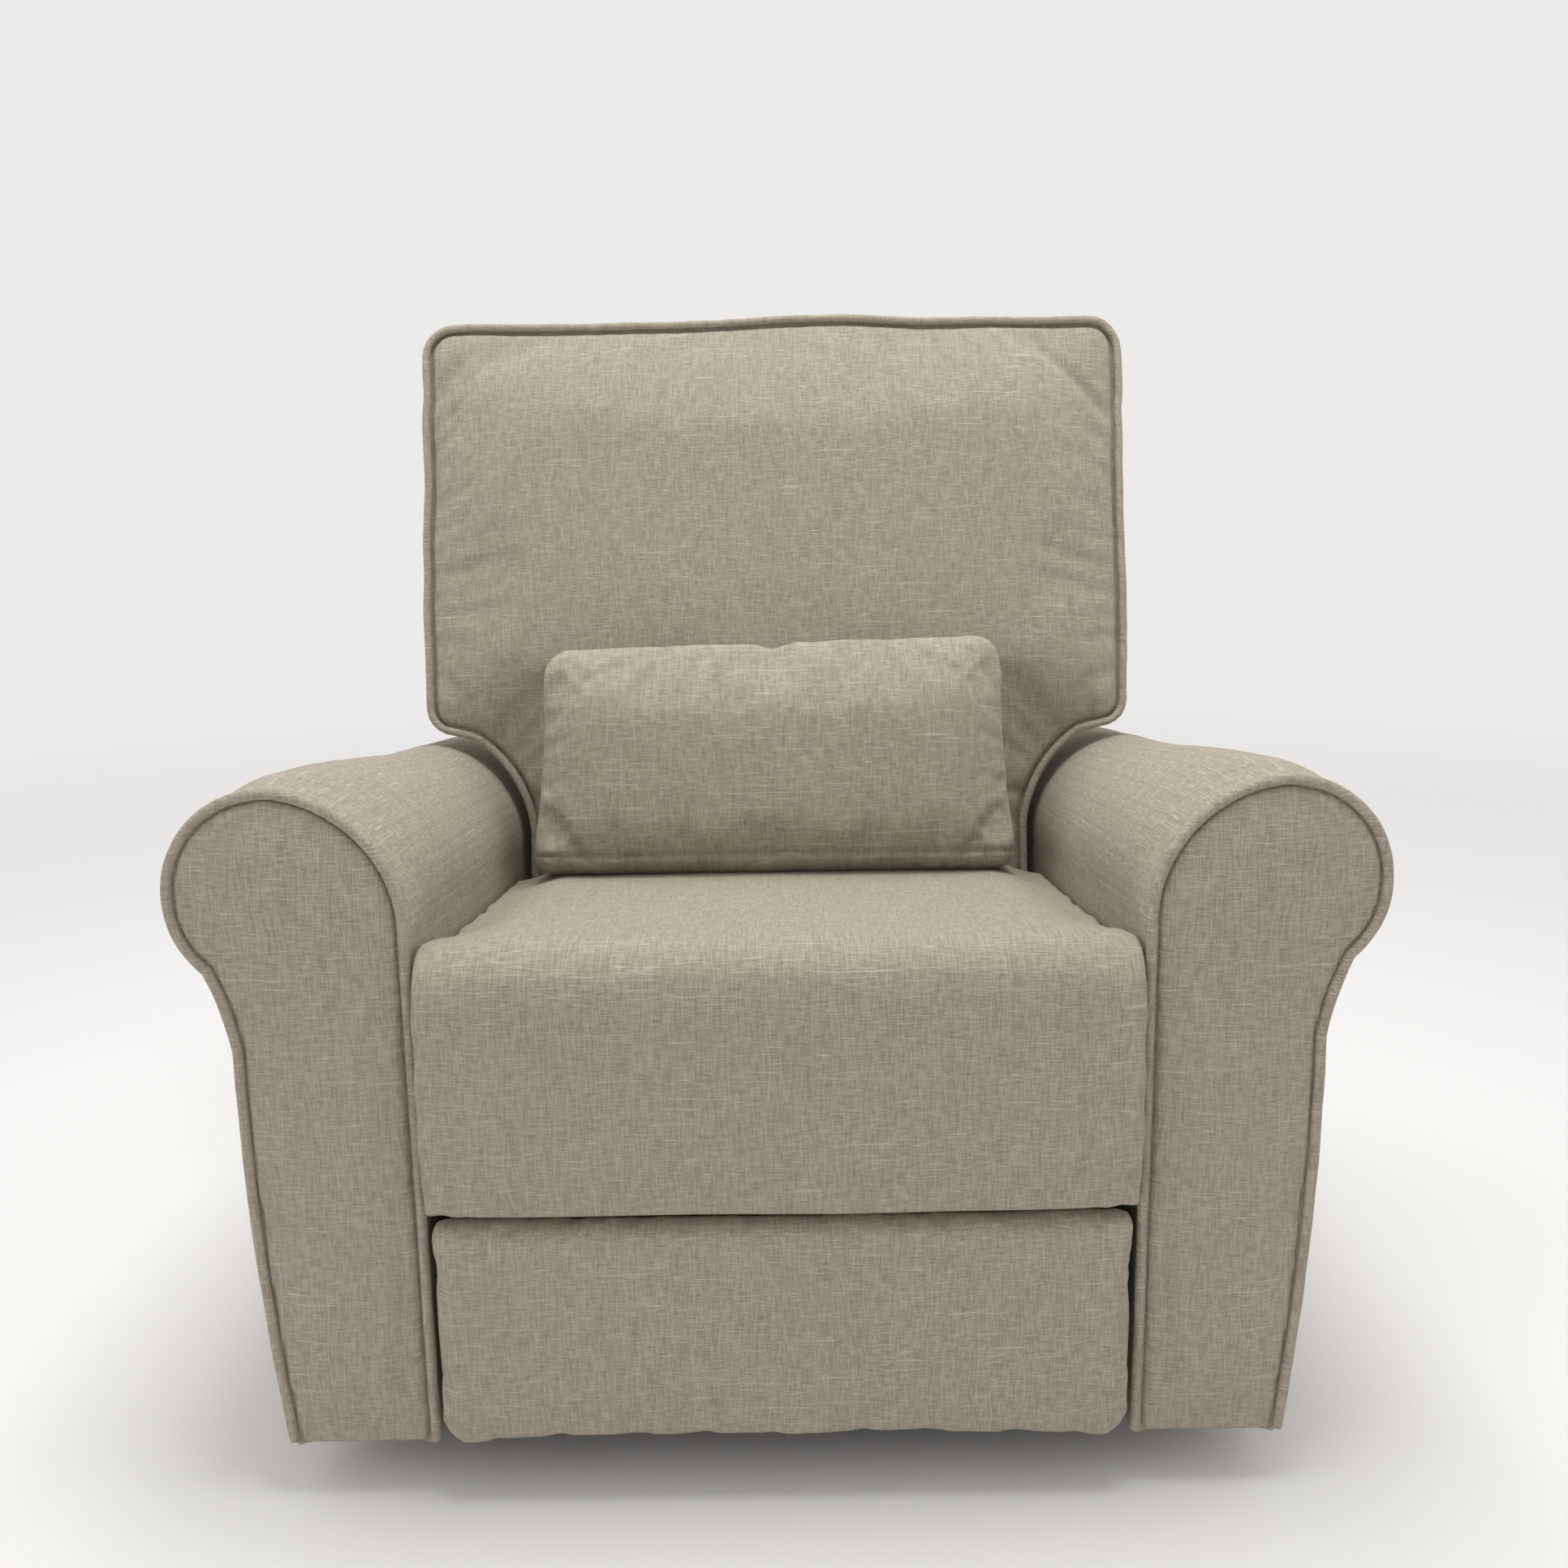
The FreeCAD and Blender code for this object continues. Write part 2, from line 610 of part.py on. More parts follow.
# ---- back ----
def back_point(x, up, behind):
    """Point on the tilted back: up its slope from the reference line and behind the piping plane."""
    return V(x, back_y + up * math.sin(tilt) + behind * math.cos(tilt),
             back_z + up * math.cos(tilt) - behind * math.sin(tilt))


def back_prism(inset, n0, n1, low):
    """T-shaped outline between two depths behind the piping plane; low is its lower end up the slope."""
    i = inset
    top = (height - back_z) / math.cos(tilt) - i
    half = back_half - i
    waist = back_low_half - i
    corner = back_corner - i * 0.6
    c = corner * (1 - math.sqrt(0.5))
    # curve out of the waist into the wing, and round the wing's lower corner
    neck = [(waist, i - 100), (waist + 25, i - 32), (waist + 65, i + 8)]
    hook = [(half - 26, i + 14), (half - 8, i + 22), (half, i + 40)]
    shoulder = [(half, top - corner), (half - c, top - c), (half - corner, top)]
    edges = []

    def line(a, b):
        edges.append(Part.LineSegment(back_point(*a, n0), back_point(*b, n0)).toShape())

    def arc(points):
        edges.append(Part.Arc(*[back_point(*p, n0) for p in points]).toShape())

    for side in (1, -1):
        curves = [[(side * x, up) for x, up in points] for points in (neck, hook, shoulder)]
        line((side * waist, low), curves[0][0])
        for points in curves:
            arc(points)
        line(curves[0][2], curves[1][0])
        line(curves[1][2], curves[2][0])
    line((corner - half, top), (half - corner, top))
    line((-waist, low), (waist, low))
    face = closed_face(edges)
    depth_n = n1 - n0
    solid = face.extrude(V(0, depth_n * math.cos(tilt), -depth_n * math.sin(tilt)))
    # behind its front edge the wing's underside is level, clear of the arms when the back tilts
    for s in both(box(back_low_half, width, wing_clear_y, 2 * depth, 0, wing_clear_z + i)):
        solid = solid.cut(s)
    return max(solid.Solids, key=lambda s: s.Volume)


def slab(x0, x1, v0, v1, n0, n1):
    """Block in the back's own directions: across, up the slope, and behind the piping plane."""
    corners = [back_point(x0, v0, n0), back_point(x1, v0, n0), back_point(x1, v1, n0), back_point(x0, v1, n0)]
    face = Part.Face(Part.makePolygon(corners + corners[:1]))
    return face.extrude(back_point(0, 0, n1) - back_point(0, 0, n0))


def make_back():
    low = (back_bottom - back_z) / math.cos(tilt)
    top = (height - back_z) / math.cos(tilt)
    crown_in = 12.0           # the crown's edge inside the piping
    cushion = back_prism(crown_in, -back_crown, -welt_w, low + crown_in)
    cushion = cushion.fuse(back_prism(welt_w, -welt_w, 0, low)).fuse(back_prism(0, 0, cushion_t, low))
    save("back_cushion", cushion.removeSplitter())
    welt = back_prism(0, -welt_w, 0, low + 60).cut(back_prism(welt_w, -welt_w - 1, 1, low + 60 - 20))
    save("back_welt", max(welt.Solids, key=lambda s: s.Volume))
    cover = back_prism(0, cushion_t, back_deep, low)
    cover = cover.cut(back_prism(cover_wall, cushion_t - 1, back_deep - cover_wall, low - 60))
    save("back_cover", cover)
    n0 = cushion_t + frame_gap
    n1 = n0 + frame_t
    x0 = bar_x0 + bar_t
    x1 = x0 + stile_w
    x2 = back_half - 48
    frame_top = top - 60
    stile = slab(x0, x1, low + 6, frame_top, n0, n1)
    bars = [slab(-bar_x0, bar_x0, v, v + rail_h, n0, n1) for v in (low + rail_h, -20, frame_top - rail_h)]
    # the outer posts stand on the level underside of the wings
    post_low = (wing_clear_z + cover_wall - back_z + n1 * math.sin(tilt)) / math.cos(tilt) + 1.4
    post = slab(x2, x2 + stile_w, post_low, frame_top, n0, n1)
    links = [slab(x1, x2, v, v + link_rail_h, n0, n1) for v in (post_low + 10, frame_top - rail_h)]
    frame = both(stile) + bars + both(post) + both(links[0]) + both(links[1])
    save("back_frame", *frame)
    arm_x = bar_x0
    plate_points = [(recline_y - hinge_r, recline_z - 4), (recline_y + hinge_r - 1, recline_z - 8)]
    for v, n in ((low + 8, n1 - 3), (low + 150, n1 - 3), (low + 150, n0 + 1), (low + 8, n0 + 1)):
        point = back_point(0, v, n)
        plate_points.append((point.y, point.z))
    plate_points.append((recline_y + 2, recline_z + 13))
    hinge = plate(plate_points, arm_x, arm_x + bar_t).fuse(
        rod(arm_x, arm_x + bar_t, recline_y, recline_z, hinge_r))
    hinge = hinge.cut(rod(arm_x - 1, arm_x + bar_t + 1, recline_y, recline_z, pin_r + running))
    hinge = hinge.cut(slab(x0, x1, low, top, n0, n1)).removeSplitter()
    save("back_hinge_arm_right", hinge)
    save("back_hinge_arm_left", mirror(hinge))
    strap_half = bar_x0 - 3
    straps = []
    for part in (0.16, 0.47, 0.64, 0.81):
        v = low + (frame_top - rail_h - low) * part
        straps.append(slab(-strap_half, strap_half, v, v + strap_w, n0 - strap_t, n0))
    save("back_webbing", *straps)


def make_pillow():
    body = box(-pillow_w / 2, pillow_w / 2, -pillow_t / 2, pillow_t / 2, -pillow_h / 2, pillow_h / 2)
    long_edges = [e for e in body.Edges if abs(e.tangentAt(e.FirstParameter).x) > 0.9]
    body = body.makeFillet(pillow_t * 0.42, long_edges)
    body.rotate(V(0, 0, 0), V(1, 0, 0), -back_tilt)
    body.translate(V(0, pillow_y, pillow_z))
    save("lumbar_pillow", body)


make_base()
make_glider_frame(make_swivel())
make_glide_links()
make_side_plates()
make_tongs()
make_footrest()
make_arms(*make_seat())
make_rear_apron()
make_back()
make_pillow()
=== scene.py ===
import json
import math

import bmesh
import bpy
from mathutils import Matrix, Vector, kdtree, noise


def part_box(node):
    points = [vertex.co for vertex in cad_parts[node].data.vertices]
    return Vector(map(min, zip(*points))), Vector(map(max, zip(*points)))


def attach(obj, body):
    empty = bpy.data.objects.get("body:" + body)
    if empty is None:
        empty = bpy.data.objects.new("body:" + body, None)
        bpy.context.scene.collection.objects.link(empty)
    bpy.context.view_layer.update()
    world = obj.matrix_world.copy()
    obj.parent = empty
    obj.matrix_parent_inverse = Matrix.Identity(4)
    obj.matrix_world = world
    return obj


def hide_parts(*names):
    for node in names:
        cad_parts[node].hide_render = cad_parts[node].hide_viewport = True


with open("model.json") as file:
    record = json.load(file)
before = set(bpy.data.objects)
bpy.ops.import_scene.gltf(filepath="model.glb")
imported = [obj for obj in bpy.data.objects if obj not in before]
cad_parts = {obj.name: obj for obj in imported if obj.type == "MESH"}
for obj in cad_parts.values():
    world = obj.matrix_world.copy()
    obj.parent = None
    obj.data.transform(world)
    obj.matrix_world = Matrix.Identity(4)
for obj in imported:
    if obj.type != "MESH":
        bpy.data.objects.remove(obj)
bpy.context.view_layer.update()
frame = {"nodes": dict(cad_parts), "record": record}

MM = 0.001

# ---------------------------------------------------------------- sizes
# read from the frame
SEAT_LO, SEAT_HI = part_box("seat_cushion")
ARM_LO, ARM_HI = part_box("arm_cover_right")
PANEL_LO, PANEL_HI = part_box("arm_front_panel_right")
PILLOW_LO, PILLOW_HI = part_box("lumbar_pillow")
FOOT_LO, FOOT_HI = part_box("footrest_pad")
APRON_LO, APRON_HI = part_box("rear_apron")
COVER_LO, COVER_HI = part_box("back_cover")

# arms
ARM_IN = ARM_LO.x
ARM_FRONT = PANEL_LO.y
ARM_REAR = ARM_HI.y
ARM_DROP = 0.0995               # fall of the arm's top per unit of length
ROLL_R = 85 * MM
ROLL_X = ARM_HI.x - ROLL_R
ROLL_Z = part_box("arm_front_welt_right")[1].z - ROLL_R
ARM_FOOT = ARM_LO.z
ARM_INNER_TOP = 490 * MM        # the inner wall is upright up to here
ARM_SHOULDER = (321 * MM, 574 * MM)
ARM_CREST = 12 * MM             # highest place of the roll, inwards of its centre
ARM_NECK = math.radians(-47)    # where the roll ends, as a turn round its centre
ARM_UNDER = (444 * MM, 436 * MM)
ARM_SIDE_HIGH = (437 * MM, 400 * MM)
ARM_SIDE_MID = (433.5 * MM, 225 * MM)
ARM_SIDE_LOW = 418 * MM
ARM_CUT = 15 * MM               # the body is meshed this much longer, then cut at its foot
ARM_SKIN = 1 * MM               # the body lies this far inside the outline
PANEL_INSET = 7.6 * MM
PANEL_DEEP = 14 * MM

# back: its piping plane is tilted about a line across the chair
BACK_Y = 140 * MM
BACK_Z = 556 * MM
TILT = math.radians(12)
BACK_TOP = (1030 * MM - BACK_Z) / math.cos(TILT)
BACK_HALF = COVER_HI.x
BACK_WAIST = 281 * MM
BACK_LOW = (346 * MM - BACK_Z) / math.cos(TILT)
BACK_SEAM = 128 * MM            # depth of the boxing behind the piping
BACK_DEEP = 180 * MM
BACK_CORNER = 34 * MM
WAIST_TOP = -100 * MM           # the waist flares from here up to the wings
FLARE_MID = (306 * MM, -32 * MM)
WING_IN = (346 * MM, 8 * MM)
WING_CLEAR = 600 * MM           # height that the wings' underside keeps behind its front edge
WING_SLOPE = 0.208              # fall of the wings' underside before it is raised

# seat
SEAT_BEND = 46 * MM             # radius of the waterfall front
SEAT_REAR_TOP = 436 * MM
SEAT_BASE = 352 * MM
SEAT_APRON = 50 * MM            # thickness of the front that hangs below the base

# pillow
PILLOW_TALL = 241 * MM
PILLOW_THICK = 132 * MM
PILLOW_START = 40 * MM          # thickness before it is filled
PILLOW_SHIFT = Vector((-4 * MM, -2 * MM, -5 * MM))
STITCH_ROW = 21 * MM            # height of the stitched line above the pillow's lower edge
TURN_UNDER = 17 * MM

PIPING_R = 4.4 * MM
PIPING_SIDES = 10
CREASE = 9 * MM                 # from a seam to the middle of the crease beside its piping
CREASE_WIDTH = 2.6 * MM
CREEP = 0.12                    # share of a simulated move that is kept past its cap
YARN_PITCH = 0.9                # mm

NOWHERE = Vector((0, 0, 0))


# ---------------------------------------------------------------- small helpers
def smooth(a, b, x):
    """Smooth step from 0 at a to 1 at b."""
    t = min(1.0, max(0.0, (x - a) / (b - a)))
    return t * t * (3 - 2 * t)


def arc(a, m, b, step):
    """Points along the circle arc from a through m to b, without b itself."""
    ax, ay = a
    mx, my = m
    bx, by = b
    d = 2 * (ax * (my - by) + mx * (by - ay) + bx * (ay - my))
    ux = ((ax * ax + ay * ay) * (my - by) + (mx * mx + my * my) * (by - ay)
          + (bx * bx + by * by) * (ay - my)) / d
    uy = ((ax * ax + ay * ay) * (bx - mx) + (mx * mx + my * my) * (ax - bx)
          + (bx * bx + by * by) * (mx - ax)) / d
    r = math.hypot(ax - ux, ay - uy)
    t0 = math.atan2(ay - uy, ax - ux)
    tm = math.atan2(my - uy, mx - ux)
    t1 = math.atan2(by - uy, bx - ux)
    turn = (t1 - t0) % (2 * math.pi)
    if (tm - t0) % (2 * math.pi) > turn:
        turn -= 2 * math.pi
    n = max(2, round(abs(turn) * r / step))
    angles = [t0 + turn * k / n for k in range(n)]
    return [(ux + r * math.cos(t), uy + r * math.sin(t)) for t in angles]


def line(a, b, step):
    """Points along the straight line from a to b, without b itself."""
    n = max(1, round(math.dist(a, b) / step))
    return [(a[0] + (b[0] - a[0]) * k / n, a[1] + (b[1] - a[1]) * k / n) for k in range(n)]


def link(name, bm):
    """Make an object from a bmesh, with outward normals and smooth shading."""
    bmesh.ops.remove_doubles(bm, verts=bm.verts, dist=1e-6)
    bmesh.ops.recalc_face_normals(bm, faces=bm.faces)
    mesh = bpy.data.meshes.new(name)
    bm.to_mesh(mesh)
    bm.free()
    obj = bpy.data.objects.new(name, mesh)
    bpy.context.scene.collection.objects.link(obj)
    for poly in mesh.polygons:
        poly.use_smooth = True
    return obj


def apply_modifiers(obj):
    """Turn what the modifiers make into the piece's own mesh."""
    depsgraph = bpy.context.evaluated_depsgraph_get()
    mesh = bpy.data.meshes.new_from_object(obj.evaluated_get(depsgraph))
    old = obj.data
    obj.modifiers.clear()
    obj.data = mesh
    mesh.name = obj.name
    bpy.data.meshes.remove(old)
    for poly in mesh.polygons:
        poly.use_smooth = True
    return obj


def prism(name, outline, place, depth):
    """Closed outline swept along a vector. place turns an outline point into a place in the frame."""
    bm = bmesh.new()
    verts = [bm.verts.new(place(*p)) for p in outline]
    face = bm.faces.new(verts)
    new = bmesh.ops.extrude_face_region(bm, geom=[face])
    moved = [g for g in new["geom"] if isinstance(g, bmesh.types.BMVert)]
    bmesh.ops.translate(bm, verts=moved, vec=depth)
    bmesh.ops.triangulate(bm, faces=[f for f in bm.faces if len(f.verts) > 4])
    return link(name, bm)


def remesh(obj, size):
    """Even mesh all over a closed piece."""
    mod = obj.modifiers.new("remesh", "REMESH")
    mod.mode = "VOXEL"
    mod.voxel_size = size
    return apply_modifiers(obj)


def relax(obj, times):
    """Soften edges and voxel steps."""
    bm = bmesh.new()
    bm.from_mesh(obj.data)
    for _ in range(times):
        bmesh.ops.smooth_vert(bm, verts=bm.verts, factor=0.5,
                              use_axis_x=True, use_axis_y=True, use_axis_z=True)
    bm.to_mesh(obj.data)
    bm.free()
    return obj


def subdivide(obj):
    mod = obj.modifiers.new("subdivision", "SUBSURF")
    mod.levels = mod.render_levels = 1
    return apply_modifiers(obj)


def inflate(obj, pressure, cap, hold, grow, frames, stiff=15.0):
    """Swell a padded piece with a cloth simulation.

    hold gives how firmly each point is pinned, cap is the longest free move, grow the cloth's stretch.
    """
    group = obj.vertex_groups.new(name="seam")
    for v in obj.data.vertices:
        w = hold(v.co)
        if w > 0:
            group.add([v.index], w, "REPLACE")
    rest = [v.co.copy() for v in obj.data.vertices]
    cloth = obj.modifiers.new("cloth", "CLOTH")
    s = cloth.settings
    s.quality = 6
    s.mass = 0.25
    s.tension_stiffness = stiff
    s.compression_stiffness = stiff
    s.shear_stiffness = stiff * 0.5
    s.bending_stiffness = 0.4
    s.use_pressure = True
    s.uniform_pressure_force = pressure
    s.shrink_min = -grow
    s.effector_weights.gravity = 0.0
    s.vertex_group_mass = "seam"
    cloth.collision_settings.use_collision = False
    cloth.collision_settings.use_self_collision = False
    cloth.point_cache.frame_start = 1
    cloth.point_cache.frame_end = frames
    scene = bpy.context.scene
    for k in range(1, frames + 1):
        scene.frame_set(k)
    apply_modifiers(obj)
    scene.frame_set(1)
    for v, start in zip(obj.data.vertices, rest):
        move = v.co - start
        length = move.length
        if length > cap:
            # past the cap a point only creeps on, so the crown stays round
            v.co = start + move * ((cap + (length - cap) * CREEP) / length)
    obj.vertex_groups.clear()
    return obj


def sculpt(obj, move):
    """Shift every point by what move says of its place and normal."""
    shifts = [move(v.co, v.normal) for v in obj.data.vertices]
    for v, shift in zip(obj.data.vertices, shifts):
        v.co += shift
    obj.data.update()
    return obj


def groove(dist, depth):
    """Depth of the crease beside a piping, by distance from the seam."""
    return depth * math.exp(-((dist - CREASE) / CREASE_WIDTH) ** 2)


def lay_cloth(obj, pattern):
    """Give a piece a UV map in metres, so that the weave runs the way its panels were cut."""
    layer = obj.data.uv_layers.new(name="weave")
    mesh = obj.data
    for poly in mesh.polygons:
        for k in poly.loop_indices:
            co = mesh.vertices[mesh.loops[k].vertex_index].co
            layer.data[k].uv = pattern(co, poly.normal)
    return obj


def boxed(co, n):
    """Cloth laid square on whichever way a face looks, with its own stretch of cloth for each way."""
    ax, ay, az = abs(n.x), abs(n.y), abs(n.z)
    if ay >= ax and ay >= az:
        return co.x, co.z
    if az >= ax:
        return co.x, co.y + 0.37
    return co.y, co.z + 0.61


def rough(co, scale, seed):
    """Smooth random number from about -1 to 1."""
    return noise.noise(Vector((co.x * scale + seed, co.y * scale - seed, co.z * scale + 2 * seed)))


def finish(obj, body, node):
    """Upholster a piece and say which body it rides on and which node of the frame it replaces."""
    obj.data.materials.clear()
    obj.data.materials.append(FABRIC)
    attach(obj, body)
    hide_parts(node)


# ---------------------------------------------------------------- materials
def linear(hex_colour):
    """sRGB hex to the linear colour that a shader works in."""
    out = []
    for k in (0, 2, 4):
        c = int(hex_colour[k:k + 2], 16) / 255
        out.append(c / 12.92 if c <= 0.04045 else ((c + 0.055) / 1.055) ** 2.4)
    return (*out, 1.0)


def add(tree, kind, links=(), **settings):
    """Add a node: its settings by name, then links as (input, output socket) or (input, value)."""
    node = tree.nodes.new(kind)
    for key, value in settings.items():
        setattr(node, key, value)
    for socket, source in links:
        if isinstance(source, bpy.types.NodeSocket):
            tree.links.new(source, node.inputs[socket])
        else:
            node.inputs[socket].default_value = source
    return node


def new_material(name, roughness, metallic=0.0, **sockets):
    """Principled material with its constants on the shader's own sockets."""
    material = bpy.data.materials.new(name)
    material.use_nodes = True
    tree = material.node_tree
    shader = tree.nodes["Principled BSDF"]
    shader.inputs["Roughness"].default_value = roughness
    shader.inputs["Metallic"].default_value = metallic
    for key, value in sockets.items():
        shader.inputs[key.replace("_", " ")].default_value = value
    return material, tree, shader


def math_node(tree, operation, a, b=0.0):
    return add(tree, "ShaderNodeMath", [(0, a), (1, b)], operation=operation).outputs[0]


def ramp(tree, value, low, high, to_low=0.0, to_high=1.0):
    """Map a value's range to another, clamped."""
    links = [("Value", value), ("From Min", low), ("From Max", high),
             ("To Min", to_low), ("To Max", to_high)]
    return add(tree, "ShaderNodeMapRange", links, clamp=True).outputs["Result"]


def blend(tree, factor, a, b):
    """Mix two colours; 6, 7 and 2 are the Mix node's colour sockets."""
    return add(tree, "ShaderNodeMix", [(0, factor), (6, a), (7, b)], data_type="RGBA").outputs[2]


def speckle(tree, vector, scale, detail, **more):
    """Fractal noise between 0 and 1."""
    links = [("Vector", vector), ("Scale", scale), ("Detail", detail)]
    links += [(name.capitalize(), value) for name, value in more.items()]
    return add(tree, "ShaderNodeTexNoise", links).outputs["Fac"]


def stretched(tree, point, scale):
    """Object coordinates scaled apart, so that noise runs out in lines."""
    return add(tree, "ShaderNodeMapping", [("Vector", point), ("Scale", scale)]).outputs[0]


def emboss(tree, shader, height, strength, distance):
    """Fine relief, in metres, that geometry is too coarse for."""
    links = [("Height", height), ("Strength", strength), ("Distance", distance)]
    tree.links.new(add(tree, "ShaderNodeBump", links).outputs["Normal"], shader.inputs["Normal"])


def streaks(tree, across, along, width_mm, length_mm, seed):
    """Noise drawn out along a thread: about length_mm long and width_mm wide."""
    x = math_node(tree, "DIVIDE", along, length_mm)
    y = math_node(tree, "DIVIDE", across, width_mm)
    vector = add(tree, "ShaderNodeCombineXYZ", [("X", x), ("Y", y), ("Z", seed)]).outputs[0]
    return speckle(tree, vector, 1.0, 1.0)


def woven_linen_look():
    """Linen-look polyester, plain weave: matt and soft, with fine pale slubs in both directions."""
    material, tree, shader = new_material("woven_linen_look", 0.92,
                                          Sheen_Weight=0.20, Sheen_Roughness=0.55)
    shader.inputs["Specular IOR Level"].default_value = 0.2
    shader.inputs["Sheen Tint"].default_value = linear("EDE8DE")
    uv = add(tree, "ShaderNodeUVMap", uv_map="weave").outputs["UV"]
    split = add(tree, "ShaderNodeSeparateXYZ", [("Vector", uv)])
    u = math_node(tree, "MULTIPLY", split.outputs["X"], 1000.0)
    v = math_node(tree, "MULTIPLY", split.outputs["Y"], 1000.0)
    # threads never lie quite straight
    sway = math_node(tree, "SUBTRACT", speckle(tree, uv, 14.0, 1.0), 0.5)
    sway = math_node(tree, "MULTIPLY", sway, 2.5)
    us = math_node(tree, "ADD", u, sway)
    vs = math_node(tree, "ADD", v, sway)
    # yarns crossing over and under
    cross_u = math_node(tree, "SINE", math_node(tree, "MULTIPLY", us, math.pi / YARN_PITCH))
    cross_v = math_node(tree, "SINE", math_node(tree, "MULTIPLY", vs, math.pi / YARN_PITCH))
    weave = math_node(tree, "MULTIPLY", cross_u, cross_v)
    # each yarn changes shade along its length, and slubs are its short thick pale stretches
    weft = streaks(tree, vs, us, YARN_PITCH, 13.0, 3.1)
    warp = streaks(tree, us, vs, YARN_PITCH, 15.0, 7.7)
    band = streaks(tree, us, vs, 6.0, 120.0, 31.0)
    weft_slub = ramp(tree, streaks(tree, vs, us, 1.1, 22.0, 11.3), 0.66, 0.70)
    warp_slub = ramp(tree, streaks(tree, us, vs, 1.1, 32.0, 17.9), 0.66, 0.70)
    long_weft = ramp(tree, streaks(tree, vs, us, 1.3, 60.0, 23.5), 0.67, 0.71)
    cloud = speckle(tree, uv, 9.0, 2.0)
    tone = blend(tree, ramp(tree, weft, 0.34, 0.66), linear("8D8576"), linear("B4AB9B"))
    tone = blend(tree, ramp(tree, warp, 0.34, 0.54, 0.42, 0.0), tone, linear("7F7769"))
    tone = blend(tree, ramp(tree, warp, 0.48, 0.66, 0.0, 0.42), tone, linear("BFB7A8"))
    tone = blend(tree, ramp(tree, band, 0.4, 0.65, 0.0, 0.08), tone, linear("B8B0A1"))
    tone = blend(tree, math_node(tree, "MULTIPLY", weft_slub, 0.70), tone, linear("CFC7B8"))
    tone = blend(tree, math_node(tree, "MULTIPLY", warp_slub, 0.58), tone, linear("C8C0B0"))
    tone = blend(tree, math_node(tree, "MULTIPLY", long_weft, 0.50), tone, linear("D6CFC1"))
    tone = blend(tree, ramp(tree, weave, -0.9, 0.9, 0.34, 0.0), tone, linear("6A6355"))
    tone = blend(tree, ramp(tree, cloud, 0.3, 0.7, 0.0, 0.10), tone, linear("958C7D"))
    tree.links.new(tone, shader.inputs["Base Color"])
    slubs = math_node(tree, "ADD", weft_slub, math_node(tree, "ADD", warp_slub, long_weft))
    height = math_node(tree, "MULTIPLY", weave, 0.35)
    height = math_node(tree, "ADD", height, math_node(tree, "MULTIPLY", slubs, 0.4))
    height = math_node(tree, "ADD", height, math_node(tree, "MULTIPLY", weft, 0.7))
    emboss(tree, shader, height, 0.75, 0.8 * MM)
    return material


def object_point(tree):
    return add(tree, "ShaderNodeTexCoord").outputs["Object"]


def powder_coated_steel():
    """Steel with a satin black powder coat: fine orange peel and a little dust."""
    material, tree, shader = new_material("powder_coated_steel", 0.42)
    point = object_point(tree)
    peel = speckle(tree, point, 900.0, 2.0)
    dust = speckle(tree, point, 14.0, 4.0)
    colour = blend(tree, ramp(tree, dust, 0.45, 0.75), linear("1D1D1F"), linear("343436"))
    tree.links.new(colour, shader.inputs["Base Color"])
    tree.links.new(ramp(tree, dust, 0.3, 0.7, 0.36, 0.52), shader.inputs["Roughness"])
    emboss(tree, shader, peel, 0.2, 0.3 * MM)
    return material


def zinc_plated_steel():
    """Bright zinc on rolled steel: pale grey metal with faint rolling lines and a cloudy bloom."""
    material, tree, shader = new_material("zinc_plated_steel", 0.34, 1.0)
    point = object_point(tree)
    lines = speckle(tree, stretched(tree, point, (60.0, 900.0, 60.0)), 1.0, 2.0)
    bloom = speckle(tree, point, 45.0, 3.0)
    colour = blend(tree, ramp(tree, bloom, 0.35, 0.7), linear("B9BCC0"), linear("94979B"))
    tree.links.new(colour, shader.inputs["Base Color"])
    tree.links.new(ramp(tree, lines, 0.3, 0.7, 0.26, 0.46), shader.inputs["Roughness"])
    return material


def sawn_hardwood():
    """Plain sawn frame timber: pale, straight grain, unfinished and matt."""
    material, tree, shader = new_material("sawn_hardwood", 0.72)
    point = object_point(tree)
    grain = speckle(tree, stretched(tree, point, (14.0, 14.0, 130.0)), 1.0, 5.0, distortion=0.6)
    pores = speckle(tree, point, 420.0, 2.0)
    colour = blend(tree, ramp(tree, grain, 0.35, 0.65), linear("C9A878"), linear("A98455"))
    colour = blend(tree, ramp(tree, pores, 0.6, 0.75, 0.0, 0.4), colour, linear("7C5C37"))
    tree.links.new(colour, shader.inputs["Base Color"])
    emboss(tree, shader, grain, 0.25, 0.6 * MM)
    return material


def spunbond_cloth():
    """Black spunbond dust cloth: matt felted fibres."""
    material, tree, shader = new_material("spunbond_cloth", 0.95, Sheen_Weight=0.15)
    point = object_point(tree)
    fibre = speckle(tree, point, 380.0, 4.0)
    colour = blend(tree, ramp(tree, fibre, 0.35, 0.7), linear("17171A"), linear("2C2C30"))
    tree.links.new(colour, shader.inputs["Base Color"])
    emboss(tree, shader, fibre, 0.5, 0.4 * MM)
    return material


def moulded(name, colour_a, colour_b, roughness):
    """Moulded nylon or rubber: even colour with a fine matt grain."""
    material, tree, shader = new_material(name, roughness)
    point = object_point(tree)
    grain = speckle(tree, point, 700.0, 2.0)
    colour = blend(tree, ramp(tree, grain, 0.3, 0.7), linear(colour_a), linear(colour_b))
    tree.links.new(colour, shader.inputs["Base Color"])
    emboss(tree, shader, grain, 0.3, 0.2 * MM)
    return material


